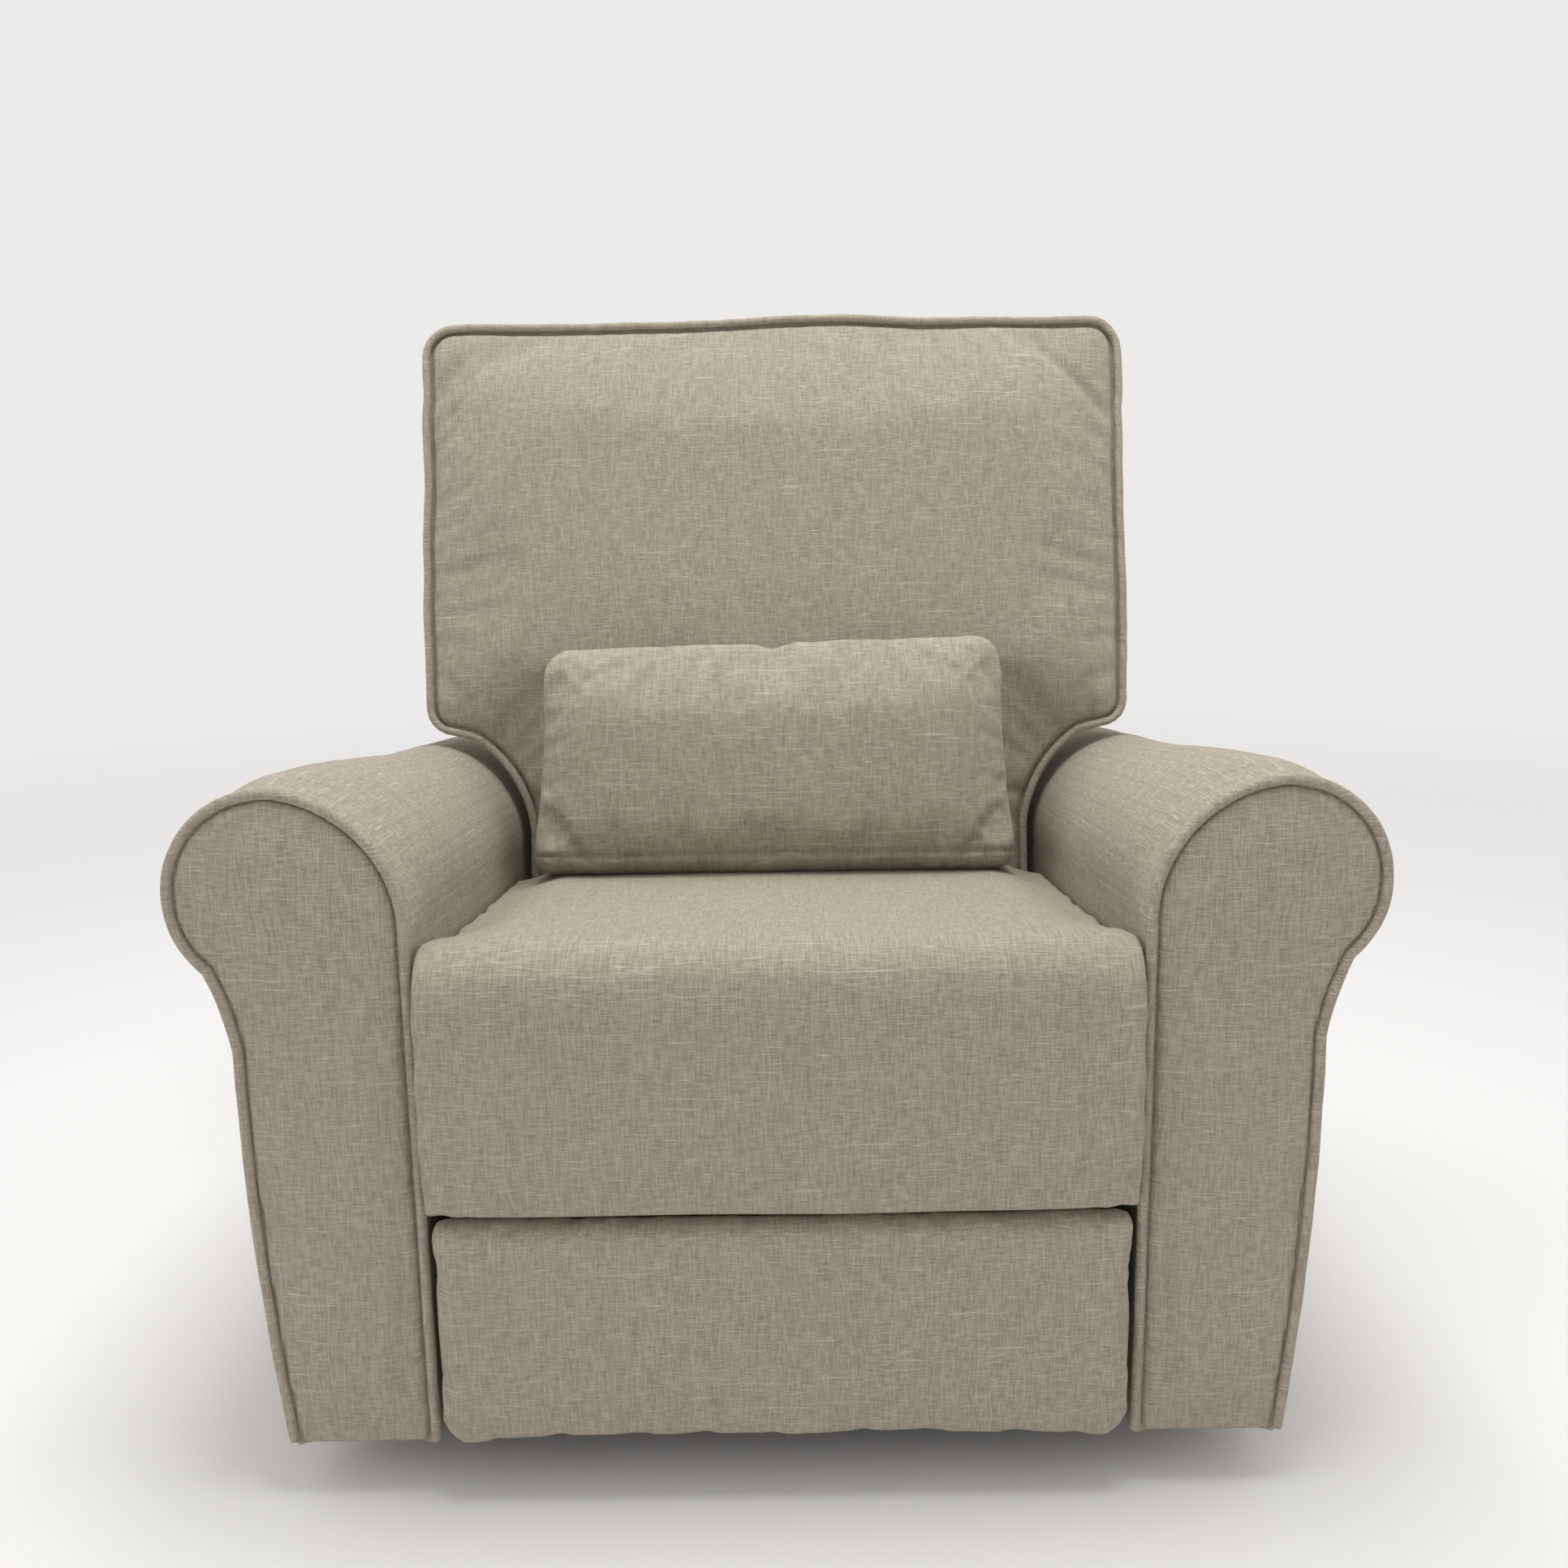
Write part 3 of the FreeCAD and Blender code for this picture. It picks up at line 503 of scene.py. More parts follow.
def elastic_webbing():
    """Woven elastic webbing: brown ribs across its width."""
    material, tree, shader = new_material("elastic_webbing", 0.85)
    point = object_point(tree)
    wave = add(tree, "ShaderNodeTexWave", [("Vector", point), ("Scale", 160.0), ("Distortion", 0.4)],
               bands_direction="Z").outputs["Fac"]
    colour = blend(tree, wave, linear("5A4B39"), linear("3A2F23"))
    tree.links.new(colour, shader.inputs["Base Color"])
    emboss(tree, shader, wave, 0.4, 0.4 * MM)
    return material


FABRIC = woven_linen_look()
STEEL = powder_coated_steel()
ZINC = zinc_plated_steel()
WOOD = sawn_hardwood()
DUST = spunbond_cloth()
NYLON = moulded("moulded_nylon", "D9D4C6", "C9C3B2", 0.5)
RUBBER = moulded("moulded_rubber", "1B1B1B", "262626", 0.8)
WEBBING = elastic_webbing()

CAD_FINISH = {
    "woven_upholstery": FABRIC, "dust_cloth": DUST, "webbing": WEBBING, "frame_wood": WOOD,
    "black_steel": STEEL, "zinc_steel": ZINC, "spring_steel": ZINC, "nylon": NYLON, "rubber_feet": RUBBER,
}


def finish_cad_nodes():
    """Give every node of the frame the finish that its material slot names."""
    slots = {s["node"]: s["material_slot"] for s in frame["record"]["subparts"]}
    for name, obj in frame["nodes"].items():
        obj.data.materials.clear()
        obj.data.materials.append(CAD_FINISH[slots[name]])


# ---------------------------------------------------------------- piping
def piping(name, points):
    """Cloth-covered cord along a seam: a round tube with a little unevenness and closed ends."""
    bm = bmesh.new()
    rings = []
    up = Vector((0.0, 0.0, 1.0))
    for k, point in enumerate(points):
        along = (points[min(k + 1, len(points) - 1)] - points[max(k - 1, 0)]).normalized()
        side = along.cross(up if abs(along.z) < 0.9 else Vector((1.0, 0.0, 0.0))).normalized()
        r = PIPING_R * (1 + 0.07 * rough(point, 55, 3))
        made = bmesh.ops.create_circle(bm, segments=PIPING_SIDES, radius=r)["verts"]
        turn = Matrix((side, along.cross(side), along)).transposed().to_4x4()
        bmesh.ops.transform(bm, matrix=Matrix.Translation(point) @ turn, verts=made)
        rings.append([e for e in bm.edges if e.verts[0] in made and e.verts[1] in made])
    for a, b in zip(rings, rings[1:]):
        bmesh.ops.bridge_loops(bm, edges=a + b)
    for ring in (rings[0], rings[-1]):
        bmesh.ops.contextual_create(bm, geom=ring)
    obj = link(name, bm)
    lay_cloth(obj, lambda co, n: (co.x + co.y, co.z))
    return obj


# ---------------------------------------------------------------- arms
def arm_outline(inset, step):
    """Front outline of the right arm from its inner foot, over the roll, to its outer foot."""
    i = inset
    r = ROLL_R - i
    foot = (ARM_IN + i, ARM_FOOT + i * 0.3)
    inner = (ARM_IN + i, ARM_INNER_TOP)
    shoulder = (ARM_SHOULDER[0] + i * 0.8, ARM_SHOULDER[1] - i * 0.6)
    crest = (ROLL_X - ARM_CREST, ROLL_Z + math.sqrt(r * r - ARM_CREST ** 2))
    outermost = (ROLL_X + r * 0.94, ROLL_Z + r * 0.34)
    neck = (ROLL_X + r * math.cos(ARM_NECK), ROLL_Z + r * math.sin(ARM_NECK))
    under = (ARM_UNDER[0] - i * 0.9, ARM_UNDER[1] - i * 0.4)
    side_high = (ARM_SIDE_HIGH[0] - i, ARM_SIDE_HIGH[1])
    side_mid = (ARM_SIDE_MID[0] - i, ARM_SIDE_MID[1])
    side_low = (ARM_SIDE_LOW - i, ARM_FOOT + i * 0.3)
    points = line(foot, inner, step)
    points += arc(inner, shoulder, crest, step)
    points += arc(crest, outermost, neck, step)
    points += arc(neck, under, side_high, step)
    points += arc(side_high, side_mid, side_low, step)
    points.append(side_low)
    return points


def arm_tree():
    """Nearest place on the arm's outline, with the length along it."""
    points = arm_outline(0.0, 3 * MM)
    tree = kdtree.KDTree(len(points))
    lengths = [0.0]
    for a, b in zip(points, points[1:]):
        lengths.append(lengths[-1] + math.dist(a, b))
    for k, (x, z) in enumerate(points):
        tree.insert((x, 0.0, z), k)
    tree.balance()
    return tree, lengths


def make_arm(side):
    """One arm: body, front facing, piping. side is 1 for the right arm and -1 for the left."""
    name = "right" if side > 0 else "left"
    seed = 5.0 * side
    tree, lengths = arm_tree()

    def level(co):
        """Height on the front outline that a place further back came from."""
        return Vector((abs(co.x), 0.0, co.z + (co.y - ARM_FRONT) * ARM_DROP))

    # meshed square, then sheared to its falling line and cut level at the foot
    below = ARM_FOOT - ARM_CUT
    outline = [(ARM_IN, below)] + arm_outline(ARM_SKIN, 8 * MM) + [(ARM_SIDE_LOW - ARM_SKIN, below)]
    front = ARM_FRONT + 3 * MM
    body = prism("arm_" + name, outline, lambda x, z: (x * side, front, z),
                 Vector((0, ARM_REAR - front, 0)))
    remesh(body, size=5 * MM)
    relax(body, times=3)

    def true_wall(co, n):
        """Draw the voxel steps on the sloping walls back onto the outline."""
        flat = Vector((abs(co.x), 0.0, co.z))
        near, index, dist = tree.find(flat)
        if abs(n.y) > 0.3 or dist > 6 * MM:
            return NOWHERE
        out = Vector((n.x * side, 0.0, n.z)).normalized()
        return Vector((out.x * side, 0, out.z)) * ((near - flat).dot(out) - ARM_SKIN)

    sculpt(body, true_wall)
    shear = Matrix.Identity(4)
    shear[2][1] = -ARM_DROP
    shear[2][3] = ARM_FRONT * ARM_DROP
    body.data.transform(shear)
    bm = bmesh.new()
    bm.from_mesh(body.data)
    cut = bmesh.ops.bisect_plane(bm, geom=bm.verts[:] + bm.edges[:] + bm.faces[:], dist=1e-6,
                                 plane_co=(0, 0, ARM_FOOT - 2 * MM), plane_no=(0, 0, -1),
                                 clear_outer=True)
    rim = [g for g in cut["geom_cut"] if isinstance(g, bmesh.types.BMEdge)]
    base = bmesh.ops.contextual_create(bm, geom=rim)["faces"]
    bmesh.ops.triangulate(bm, faces=base)
    bmesh.ops.recalc_face_normals(bm, faces=bm.faces)
    bm.to_mesh(body.data)
    bm.free()

    def dress(co, n):
        flat = level(co)
        near, index, dist = tree.find(flat)
        shift = NOWHERE.copy()
        from_front = co.y - ARM_FRONT
        if n.y < -0.6 and from_front < 14 * MM:
            # sunk behind the separate front panel
            shift.y += 5 * MM * smooth(5 * MM, 14 * MM, dist)
        elif n.y > 0.6 and co.y > ARM_REAR - 12 * MM:
            shift.y -= groove(dist, 3 * MM) - 3 * MM * smooth(10 * MM, 42 * MM, dist)
        elif n.z > -0.7:
            ripple = 0.7 * rough(co, 9, seed) + 0.35 * rough(co, 26, seed + 4)
            pull = 1.0 + 1.2 * math.exp(-from_front / (60 * MM))
            shift += n * (ripple * pull * MM * 1.2)
            # the padding stands proud of the front seam over the top of the arm
            proud = smooth(8 * MM, 95 * MM, from_front) * (1 - smooth(140 * MM, 470 * MM, from_front))
            shift += n * (10 * MM * proud * smooth(-0.2, 0.7, n.z) * smooth(450 * MM, 540 * MM, flat.z))
            shift -= n * (1.6 * MM * math.exp(-((from_front - 9 * MM) / (6 * MM)) ** 2))
        if co.z < ARM_FOOT + 30 * MM and n.z > -0.5:
            hem = 1.5 * MM * rough(Vector((co.x, co.y, 0)), 22, seed + 9)
            shift.z += hem * (1 - smooth(0, 30 * MM, co.z - ARM_FOOT))
        return shift

    sculpt(body, dress)

    def pattern(co, n):
        if abs(n.y) > 0.7:
            return abs(co.x) + 0.13, co.z
        near, index, dist = tree.find(level(co))
        if n.z < -0.8 and co.z < ARM_FOOT + 10 * MM:
            return co.y, abs(co.x)
        return co.y, lengths[index] + (level(co).z - near.z if index in (0, len(lengths) - 1) else 0.0)

    lay_cloth(body, pattern)
    finish(body, "chair_body", "arm_cover_" + name)

    panel = prism("arm_front_" + name, arm_outline(PANEL_INSET, 8 * MM),
                  lambda x, z: (x * side, ARM_FRONT, z), Vector((0, PANEL_DEEP, 0)))
    remesh(panel, size=4 * MM)
    relax(panel, times=2)

    def puff(co, n):
        near, index, dist = tree.find((abs(co.x), 0.0, co.z))
        if n.y > 0.3:
            return NOWHERE
        depth = max(0.0, dist - PANEL_INSET)
        swell = 5.5 * MM * smooth(2 * MM, 40 * MM, depth) * smooth(0.0, 60 * MM, co.z - ARM_FOOT)
        edge = 3 * MM * (1 - smooth(0.0, 6 * MM, depth))
        wrinkle = 0.8 * MM * rough(co, 14, seed)
        wrinkle += 0.9 * MM * math.exp(-depth / (12 * MM)) * rough(co, 45, seed)
        return Vector((0, edge - swell + wrinkle, 0))

    sculpt(panel, puff)
    lay_cloth(panel, lambda co, n: (abs(co.x) + 0.13, co.z))
    finish(panel, "chair_body", "arm_front_panel_" + name)

    route = []
    for x, z in arm_outline(3 * MM, 6 * MM):
        spot = Vector((x, 0.0, max(z, ARM_FOOT + 3 * MM)))
        wave = Vector((0.6 * MM * rough(spot, 25, seed), 1 * MM * rough(spot, 18, seed + 2), 0.0))
        route.append(Vector((x * side, ARM_FRONT + 3 * MM, spot.z)) + wave)
    cord = piping("arm_piping_" + name, route)
    finish(cord, "chair_body", "arm_front_welt_" + name)


# ---------------------------------------------------------------- back
def back_place(x, up, behind):
    """Place on the tilted back: across, up its slope, behind the piping plane."""
    return Vector((x, BACK_Y + up * math.sin(TILT) + behind * math.cos(TILT),
                   BACK_Z + up * math.cos(TILT) - behind * math.sin(TILT)))


def back_wave(x, up):
    """Stuffing pushes the seam in and out: shift of the back's outline, across and up."""
    spot = Vector((x, up, 0.0))
    high = smooth(0.30, 0.44, up)
    side = smooth(0.30, 0.39, abs(x)) * smooth(0.02, 0.10, up)
    lift = 5.0 * MM * math.exp(-((x - 0.05) / 0.13) ** 2) - 2.5 * MM + 2.6 * MM * rough(spot, 13, 4.4)
    out = 4.5 * MM * rough(spot, 9, 5.9) + 1.8 * MM * rough(spot, 22, 2.2)
    rise = back_place(0, lift, 0) - back_place(0, 0, 0)
    return Vector((math.copysign(out, x) * side, 0, 0)) + rise * high


def back_local(co):
    """Across, up the slope and behind the piping plane, for a place in the frame."""
    y, z = co.y - BACK_Y, co.z - BACK_Z
    return co.x, y * math.sin(TILT) + z * math.cos(TILT), y * math.cos(TILT) - z * math.sin(TILT)


def back_outline(inset, step):
    """T-shaped outline of the back, closed, anticlockwise from the lower left corner."""
    i = inset
    top = BACK_TOP - i
    half = BACK_HALF - i
    waist = BACK_WAIST - i
    corner = BACK_CORNER - i * 0.6
    c = corner * (1 - math.sqrt(0.5))
    low = BACK_LOW + i
    flare = (waist, WAIST_TOP + i)
    wing_in = (WING_IN[0] - i, WING_IN[1] + i)
    wing_out = (half - 26 * MM, 14 * MM + i)
    wing_side = (half, 40 * MM + i)
    right = line((waist, low), flare, step)
    right += arc(flare, (FLARE_MID[0] - i, FLARE_MID[1] + i), wing_in, step)
    right += line(wing_in, wing_out, step)
    right += arc(wing_out, (half - 8 * MM, 22 * MM + i), wing_side, step)
    right += line(wing_side, (half, top - corner), step)
    right += arc((half, top - corner), (half - c, top - c), (half - corner, top), step)
    across = line((half - corner, top), (corner - half, top), step)
    left = [(-x, up) for x, up in reversed(right)]
    return right + across + left + line((-waist, low), (waist, low), step)[1:]


def clear_arms(co):
    """Raise the wings' underside behind their front edge, so that the back tilts past the arms."""
    x, up, behind = back_local(co)
    rise = smooth(10 * MM, 30 * MM, behind) * (WING_CLEAR - (BACK_Z + 10 * MM - WING_SLOPE * behind))
    here = smooth(262 * MM, 292 * MM, abs(x)) * (1 - smooth(20 * MM, 130 * MM, up))
    if up < -10 * MM and abs(x) > BACK_WAIST:
        rise += (-10 * MM - up) * smooth(10 * MM, 30 * MM, behind)
    return Vector((0, 0, rise * here))


def outline_tree(points):
    """Nearest point of a flat outline."""
    tree = kdtree.KDTree(len(points))
    for k, (x, up) in enumerate(points):
        tree.insert((x, up, 0.0), k)
    tree.balance()
    return tree


def cloth_on_back(co, n):
    """Where the cloth of the front, the sides or the boxing lies."""
    x, up, behind = back_local(co)
    front = abs(n.y * math.cos(TILT) - n.z * math.sin(TILT))
    if front > 0.6:
        return x, up
    if abs(n.x) > 0.6:
        return behind + 0.4, up
    return x, behind + 0.9


def make_back():
    """The back: front cushion with its piping, and the cover behind it."""
    edge = outline_tree(back_outline(0.0, 4 * MM))
    axis = back_place(0, 0, 1) - back_place(0, 0, 0)

    def slab(name, inset, near_side, far_side, size):
        # meshed upright, then tilted
        outline = back_outline(inset, 10 * MM)
        obj = prism(name, outline, lambda x, up: (x, near_side, up), Vector((0, far_side - near_side, 0)))
        remesh(obj, size)
        relax(obj, times=2)
        obj.data.transform(Matrix.Translation((0, BACK_Y, BACK_Z)) @ Matrix.Rotation(-TILT, 4, "X"))
        return obj

    cushion = slab("back_cushion", 2 * MM, -4 * MM, BACK_SEAM, 7 * MM)

    def hold(co):
        x, up, behind = back_local(co)
        near, index, dist = edge.find((x, up, 0.0))
        if behind > 10 * MM:
            return 1.0
        return 1.0 - smooth(4 * MM, 12 * MM, dist)

    inflate(cushion, pressure=4.0, cap=30 * MM, hold=hold, grow=0.022, frames=22)
    subdivide(cushion)

    def dress(co, n):
        x, up, behind = back_local(co)
        near, index, dist = edge.find((x, up, 0.0))
        shift = clear_arms(co) + back_wave(x, up)
        if behind < 8 * MM:
            crown = smooth(0, 150 * MM, dist) ** 0.7
            # without the simulation the crown is set here
            extra = ((-8 * MM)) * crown
            # pulls in the cloth fan out from the seam
            pull = math.exp(-dist / (38 * MM)) * smooth(6 * MM, 22 * MM, dist)
            fan = 2.6 * MM * pull * rough(Vector((x, up, 0.0)), 24, 1.5)
            slack = 2.2 * MM * rough(Vector((x * 0.6, up, 0.0)), 6, 8.2) * crown
            shift += axis * (extra + groove(dist, 8 * MM) + fan + slack)
        return shift

    sculpt(cushion, dress)
    lay_cloth(cushion, cloth_on_back)
    finish(cushion, "back", "back_cushion")

    route = []
    for x, up in back_outline(2.6 * MM, 8 * MM):
        if up < BACK_LOW + 40 * MM:
            continue
        bob = 1.4 * MM * rough(Vector((x, up, 0.0)), 14, 6.1)
        route.append(back_place(x, up, bob - 2 * MM) + back_wave(x, up))
    # the route starts and ends at the foot of the back, so it is turned to run over the top
    start = min(range(len(route)), key=lambda k: (route[k].z, -route[k].x))
    route = route[start:] + route[:start]
    cord = piping("back_piping", route)
    finish(cord, "back", "back_welt")

    cover = slab("back_rear_cover", 1.5 * MM, BACK_SEAM + 0.5 * MM, BACK_DEEP, 8 * MM)

    def dress_cover(co, n):
        x, up, behind = back_local(co)
        near, index, dist = edge.find((x, up, 0.0))
        shift = clear_arms(co) + back_wave(x, up)
        if behind > BACK_DEEP - 12 * MM:
            belly = 6 * MM * smooth(0, 200 * MM, dist) - 5 * MM * (1 - smooth(0, 22 * MM, dist))
            shift += axis * (belly + 1.2 * MM * rough(co, 7, 2.0) - 5 * MM)
        return shift

    sculpt(cover, dress_cover)
    lay_cloth(cover, cloth_on_back)
    finish(cover, "back", "back_cover")


# ---------------------------------------------------------------- seat
def seat_outline():
    """Side view of the seat: foam over the frame with a waterfall down the front."""
    y0, y1 = SEAT_LO.y, SEAT_HI.y
    top, low = SEAT_HI.z, SEAT_LO.z
    low -= 5 * MM
    corners = [(y0 + SEAT_APRON, low), (y0 + 3 * MM, low), (y0 + 2 * MM, top - SEAT_BEND),
               (y0 + SEAT_BEND, top - 3 * MM), (y1, SEAT_REAR_TOP - 2 * MM), (y1, SEAT_BASE),
               (y0 + SEAT_APRON, SEAT_BASE), (y0 + SEAT_APRON, low)]
    step = 9 * MM
    points = []
    for k, (a, b) in enumerate(zip(corners, corners[1:])):
        points += arc(a, (y0 + 14 * MM, top - 14 * MM), b, step) if k == 2 else line(a, b, step)
    return points


def make_seat():
    """The seat cushion, crowned and gathered: it has no simulation."""
    half = SEAT_HI.x - 0.5 * MM
    obj = prism("seat_cushion", seat_outline(), lambda y, z: (-half, y, z), Vector((2 * half, 0, 0)))
    remesh(obj, size=6 * MM)
    relax(obj, times=1)
    subdivide(obj)
    front, top, bend = SEAT_LO.y, SEAT_HI.z, SEAT_BEND

    def along(co):
        """Length of cloth from the front lower edge, up the front and over the top."""
        if co.z < top - bend and co.y < front + bend:
            return co.z
        if co.y > front + bend:
            return top - bend + bend * math.pi / 2 + (co.y - front - bend)
        return top - bend + bend * math.atan2(max(0.0, co.z - top + bend), max(1e-6, front + bend - co.y))

    def dress(co, n):
        side = abs(co.x) / half
        shift = NOWHERE.copy()
        from_edge = half - abs(co.x)
        full = smooth(2 * MM, 70 * MM, from_edge)
        seam = math.exp(-from_edge / (16 * MM))
        if co.z > 360 * MM and n.z > 0.1:
            # foam crowns the top, most of all behind the front edge
            shift.z += 5 * MM * full * (1 - 0.5 * smooth(0.1, 0.48, co.y - front)) * smooth(0.0, 0.5, n.z)
            shift.z += 0.9 * MM * rough(co, 7, 3.3)
        # towards the rear the foam falls away beside the arms
        fall = smooth(40 * MM, 170 * MM, co.y - front) * smooth(350 * MM, 440 * MM, co.z)
        shift.z -= 15 * MM * fall * (1 - smooth(2 * MM, 75 * MM, from_edge))
        if n.y < -0.1 and co.y < front + 60 * MM:
            low = 1 - smooth(0, 60 * MM, co.z - SEAT_LO.z)
            shift.y -= 4.5 * MM * full * smooth(0, 40 * MM, co.z - SEAT_LO.z)
            shift.y += 0.9 * MM * rough(co, 7, 7.1)
            # the cloth gathers at the lower corners
            shift.y += 2.2 * MM * smooth(0.80, 1.0, side) * low * math.sin(abs(co.x) * 260 + co.z * 190)
        if n.y < 0.3 or n.z > 0.3:
            # small gathers along the side seams
            place = Vector((0, co.y, co.z))
            shift -= n * (2.2 * MM * seam * (0.2 + rough(place, 32, 6.0)))
            shift.x -= math.copysign(1.5 * MM, co.x) * seam * (rough(place, 20, 2.0) - 0.6)
        if co.z < SEAT_LO.z + 30 * MM and co.y < front + 40 * MM:
            hem = 1 - smooth(0, 30 * MM, co.z - SEAT_LO.z)
            shift.z += (2.2 * MM * rough(co, 7, 1.1) + 3 * MM * side ** 4 - 1 * MM) * hem
        return shift

    sculpt(obj, dress)

    def pattern(co, n):
        if abs(n.x) > 0.75:
            return co.y, co.z + 0.3
        return co.x, along(co)

    lay_cloth(obj, pattern)
    finish(obj, "chair_body", "seat_cushion")


# ---------------------------------------------------------------- footrest
def round_rectangle(x0, x1, z0, z1, r_low, r_high, step):
    """Closed outline with its own corner radius below and above."""
    c, d = r_low * (1 - math.sqrt(0.5)), r_high * (1 - math.sqrt(0.5))
    points = line((x0 + r_low, z0), (x1 - r_low, z0), step)
    points += arc((x1 - r_low, z0), (x1 - c, z0 + c), (x1, z0 + r_low), step)
    points += line((x1, z0 + r_low), (x1, z1 - r_high), step)
    points += arc((x1, z1 - r_high), (x1 - d, z1 - d), (x1 - r_high, z1), step)
    points += line((x1 - r_high, z1), (x0 + r_high, z1), step)
    points += arc((x0 + r_high, z1), (x0 + d, z1 - d), (x0, z1 - r_high), step)
    points += line((x0, z1 - r_high), (x0, z0 + r_low), step)
    points += arc((x0, z0 + r_low), (x0 + c, z0 + c), (x0 + r_low, z0), step)
    return points


def make_footrest():
    """The footrest's padding, swollen in front of its board."""
    half = FOOT_HI.x + 2 * MM
    y0, y1 = FOOT_LO.y + 2 * MM, FOOT_HI.y - 0.5 * MM
    z0, z1 = FOOT_LO.z - 6 * MM, FOOT_HI.z + 3 * MM
    outline = round_rectangle(-half, half, z0, z1, 26 * MM, 8 * MM, 8 * MM)
    obj = prism("footrest_pad", outline, lambda x, z: (x, y0, z), Vector((0, y1 - y0, 0)))
    remesh(obj, size=5 * MM)
    relax(obj, times=4)
    inflate(obj, pressure=3.0, cap=5 * MM, hold=lambda co: 1.0 if co.y > y1 - 8 * MM else 0.0,
            grow=0.02, frames=14)
    subdivide(obj)

    def dress(co, n):
        shift = NOWHERE.copy()
        low = 1 - smooth(0, 45 * MM, co.z - z0)
        if n.y < 0.2:
            shift.y += 1.1 * MM * rough(co, 10, 2.2) - 2 * MM * smooth(0, 60 * MM, co.z - z0)
            shift.y += 2.2 * MM * low * rough(Vector((co.x, 0, co.z * 0.4)), 42, 6.5)
        shift.z += 2.4 * MM * low * rough(Vector((co.x, 0, 0)), 12, 9.4)
        # behind its front lip the top slopes away, clear of the seat as the panel swings out
        back = smooth(y0 + 14 * MM, y1, co.y)
        if co.z > z1 - 22 * MM:
            shift.z -= back * max(0.0, co.z - (z1 - 14 * MM))
        return shift

    sculpt(obj, dress)
    lay_cloth(obj, boxed)
    finish(obj, "footrest", "footrest_pad")


# ---------------------------------------------------------------- pillow
def make_pillow():
    """The loose pillow, made upright about its own middle, then leant against the back."""
    width = PILLOW_HI.x - PILLOW_LO.x
    tall = PILLOW_TALL
    outline = round_rectangle(-width / 2, width / 2, -tall / 2, tall / 2, 22 * MM, 26 * MM, 8 * MM)
    obj = prism("lumbar_pillow", outline, lambda x, z: (x, -PILLOW_START / 2, z),
                Vector((0, PILLOW_START, 0)))
    remesh(obj, size=6 * MM)
    relax(obj, times=2)
    edge = outline_tree(outline)

    def fatten(co, n):
        near, index, dist = edge.find((co.x, co.z, 0.0))
        reach = 112 * MM - 40 * MM * smooth(0.1, 0.5, -co.z / tall)
        full = math.sqrt(1 - (1 - smooth(-30 * MM, reach, dist)) ** 2)
        return Vector((0, co.y * (0.92 * PILLOW_THICK / PILLOW_START * full - 0.75), 0))

    sculpt(obj, fatten)

    def hold(co):
        near, index, dist = edge.find((co.x, co.z, 0.0))
        return 0.9 * (1 - smooth(1 * MM, 8 * MM, dist))

    inflate(obj, pressure=4.0, cap=10 * MM, hold=hold, grow=0.035, frames=18, stiff=12.0)
    subdivide(obj)

    def dress(co, n):
        out_x = abs(co.x) / (width / 2)
        low = 0.5 - co.z / tall
        shift = NOWHERE.copy()
        near, index, dist = edge.find((co.x, co.z, 0.0))
        face = 1 if co.y > 0 else -1
        pull = math.exp(-dist / (24 * MM))
        shift.y += 4.4 * MM * pull * rough(Vector((co.x, 0, co.z)), 38, 5.0) * face
        shift.x += math.copysign(2.0 * MM, co.x) * pull * rough(Vector((0, 0, co.z)), 32, 1.0)
        # it stands on its lower edge, which spreads, and its sides are drawn in half way up
        shift.x += co.x * (0.035 * smooth(0.3, 1.0, low) - 0.015 * smooth(0.55, 1.0, 1 - low))
        half_way = math.exp(-((low - 0.5) / 0.25) ** 2)
        shift.x -= math.copysign(3 * MM, co.x) * half_way * smooth(0.7, 1.0, out_x)
        # the top seam is pulled in at its middle and stands higher at one end
        dimple = math.exp(-((co.x - 2 * MM) / (16 * MM)) ** 2) * smooth(0.5, 1.0, 1 - low)
        shift.z -= 6 * MM * dimple
        shift.y -= 4 * MM * dimple * face
        shift.z += (co.x / width) * 9 * MM * smooth(0.4, 1.0, 1 - low)
        shift.z += 1.6 * MM * rough(Vector((co.x, 0, 0)), 26, 3.3) * smooth(0.8, 1.0, 1 - low)
        # the side seam sits in a shallow crease
        shift += n * (-1.8 * MM * math.exp(-(co.y / (3 * MM)) ** 2) * (1 - smooth(4 * MM, 14 * MM, dist)))
        # below a stitched line the cloth turns under
        row = co.z + tall / 2
        if co.y < 0:
            gather = 0.7 + 0.3 * rough(Vector((co.x, 0, 0)), 30, 8.0)
            shift.y += 7 * MM * math.exp(-((row - STITCH_ROW) / (2.4 * MM)) ** 2) * gather
            under = max(0.0, 1 - row / TURN_UNDER)
            shift.y += TURN_UNDER * (1 - math.sqrt(max(0.0, 1 - under ** 2)))
        return shift

    sculpt(obj, dress)
    lay_cloth(obj, lambda co, n: (co.x, co.z))
    centre = (PILLOW_LO + PILLOW_HI) / 2 + PILLOW_SHIFT
    obj.data.transform(Matrix.Translation(centre) @ Matrix.Rotation(-TILT, 4, "X"))
    finish(obj, "pillow", "lumbar_pillow")


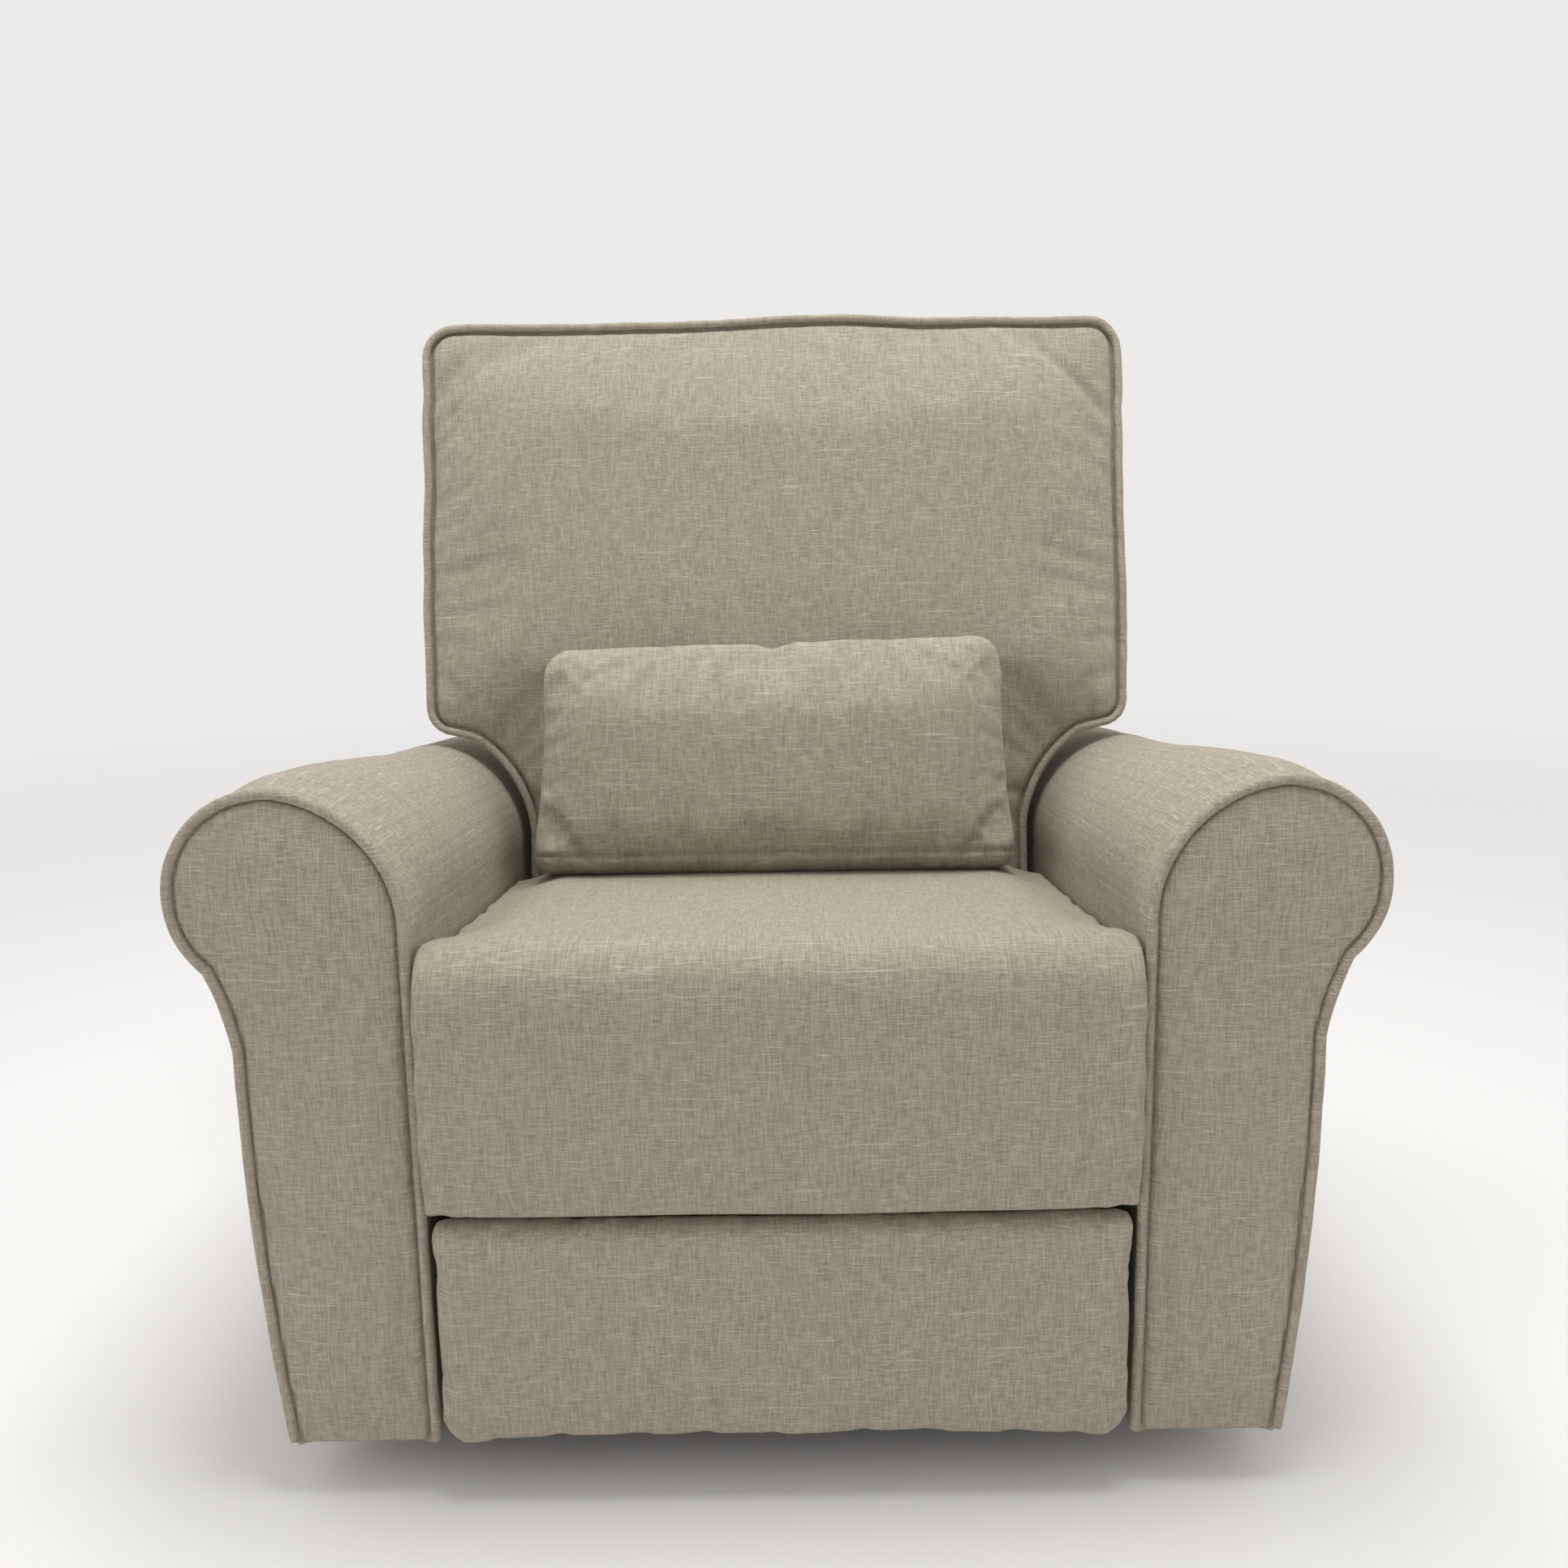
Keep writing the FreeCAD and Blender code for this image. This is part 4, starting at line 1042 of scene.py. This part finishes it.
# ---------------------------------------------------------------- rear apron
def make_apron():
    """Cloth-covered board that closes the rear between the arms."""
    half = APRON_HI.x - 1 * MM
    outline = round_rectangle(-half, half, APRON_LO.z, APRON_HI.z, 6 * MM, 6 * MM, 10 * MM)
    y0, y1 = APRON_LO.y, APRON_HI.y
    obj = prism("rear_apron", outline, lambda x, z: (x, y0, z), Vector((0, y1 - y0, 0)))
    remesh(obj, size=5 * MM)
    relax(obj, times=3)
    sculpt(obj, lambda co, n: n * (0.8 * MM * rough(co, 9, 4.0)))
    lay_cloth(obj, boxed)
    finish(obj, "chair_body", "rear_apron")


# ---------------------------------------------------------------- room
BACKDROP = "ECEBE9"
FLOOR = "E0DFDE"
FADE_FROM, FADE_TO = 1.0, 4.5   # metres from the chair over which the floor turns into the backdrop
LIGHTS = (
    # name, place, target, width in metres, power in watts
    ("overhead", (0.2, -0.3, 3.0), (0, 0, 0.4), 1.3, 44.0),
    ("overhead_rear", (-0.4, 0.8, 2.9), (0, 0, 0.4), 0.9, 12.0),
    ("front_left", (-2.4, -2.6, 2.2), (0, 0, 0.5), 1.4, 10.0),
)


def make_stage():
    """Bright studio: a white sweep, an even backdrop and three soft lights."""
    bm = bmesh.new()
    bmesh.ops.create_circle(bm, cap_ends=True, segments=64, radius=40.0)
    floor = link("floor", bm)
    material, tree, shader = new_material("studio_floor", 0.75)
    shader.inputs["Base Color"].default_value = linear(FLOOR)
    shader.inputs["Specular IOR Level"].default_value = 0.15
    # further out the floor fades into the backdrop, like a studio sweep
    far = add(tree, "ShaderNodeVectorMath", [(0, object_point(tree))],
              operation="LENGTH").outputs["Value"]
    glow = add(tree, "ShaderNodeEmission", [("Color", linear(BACKDROP)), ("Strength", 1.0)]).outputs[0]
    fade = ramp(tree, far, FADE_FROM, FADE_TO)
    sweep = add(tree, "ShaderNodeMixShader", [(0, fade), (1, shader.outputs[0]), (2, glow)]).outputs[0]
    tree.links.new(sweep, tree.nodes["Material Output"].inputs["Surface"])
    floor.data.materials.append(material)
    world = bpy.data.worlds.new("studio")
    world.use_nodes = True
    back = world.node_tree.nodes["Background"]
    back.inputs["Color"].default_value = linear(BACKDROP)
    back.inputs["Strength"].default_value = 1.0
    bpy.context.scene.world = world

    for name, place, target, size, power in LIGHTS:
        light = bpy.data.lights.new(name, "AREA")
        light.shape = "DISK"
        light.size = size
        light.energy = power
        obj = bpy.data.objects.new(name, light)
        obj.location = place
        obj.rotation_euler = (Vector(target) - Vector(place)).to_track_quat("-Z", "Y").to_euler()
        bpy.context.scene.collection.objects.link(obj)


# ---------------------------------------------------------------- camera
LENS = 33.3                     # mm on a 36 mm sensor
LOOK_DOWN = math.radians(11.0)
ROLL = math.radians(-0.85)
EYE = (6.6 * MM, ARM_FRONT - 1.098, 0.825)


def make_camera():
    """View from close in front and above the seat, a little downwards, with a slight roll."""
    data = bpy.data.cameras.new("camera")
    data.sensor_width = 36.0
    data.lens = LENS
    data.clip_end = 200.0
    camera = bpy.data.objects.new("camera", data)
    look = Matrix.Rotation(math.pi / 2 - LOOK_DOWN, 4, "X")
    camera.matrix_world = Matrix.Translation(EYE) @ look @ Matrix.Rotation(ROLL, 4, "Z")
    bpy.context.scene.collection.objects.link(camera)
    bpy.context.scene.camera = camera
    bpy.context.scene.view_settings.view_transform = "Standard"


make_camera()
make_stage()
finish_cad_nodes()
make_arm(1)
make_arm(-1)
make_seat()
make_back()
make_pillow()
make_footrest()
make_apron()
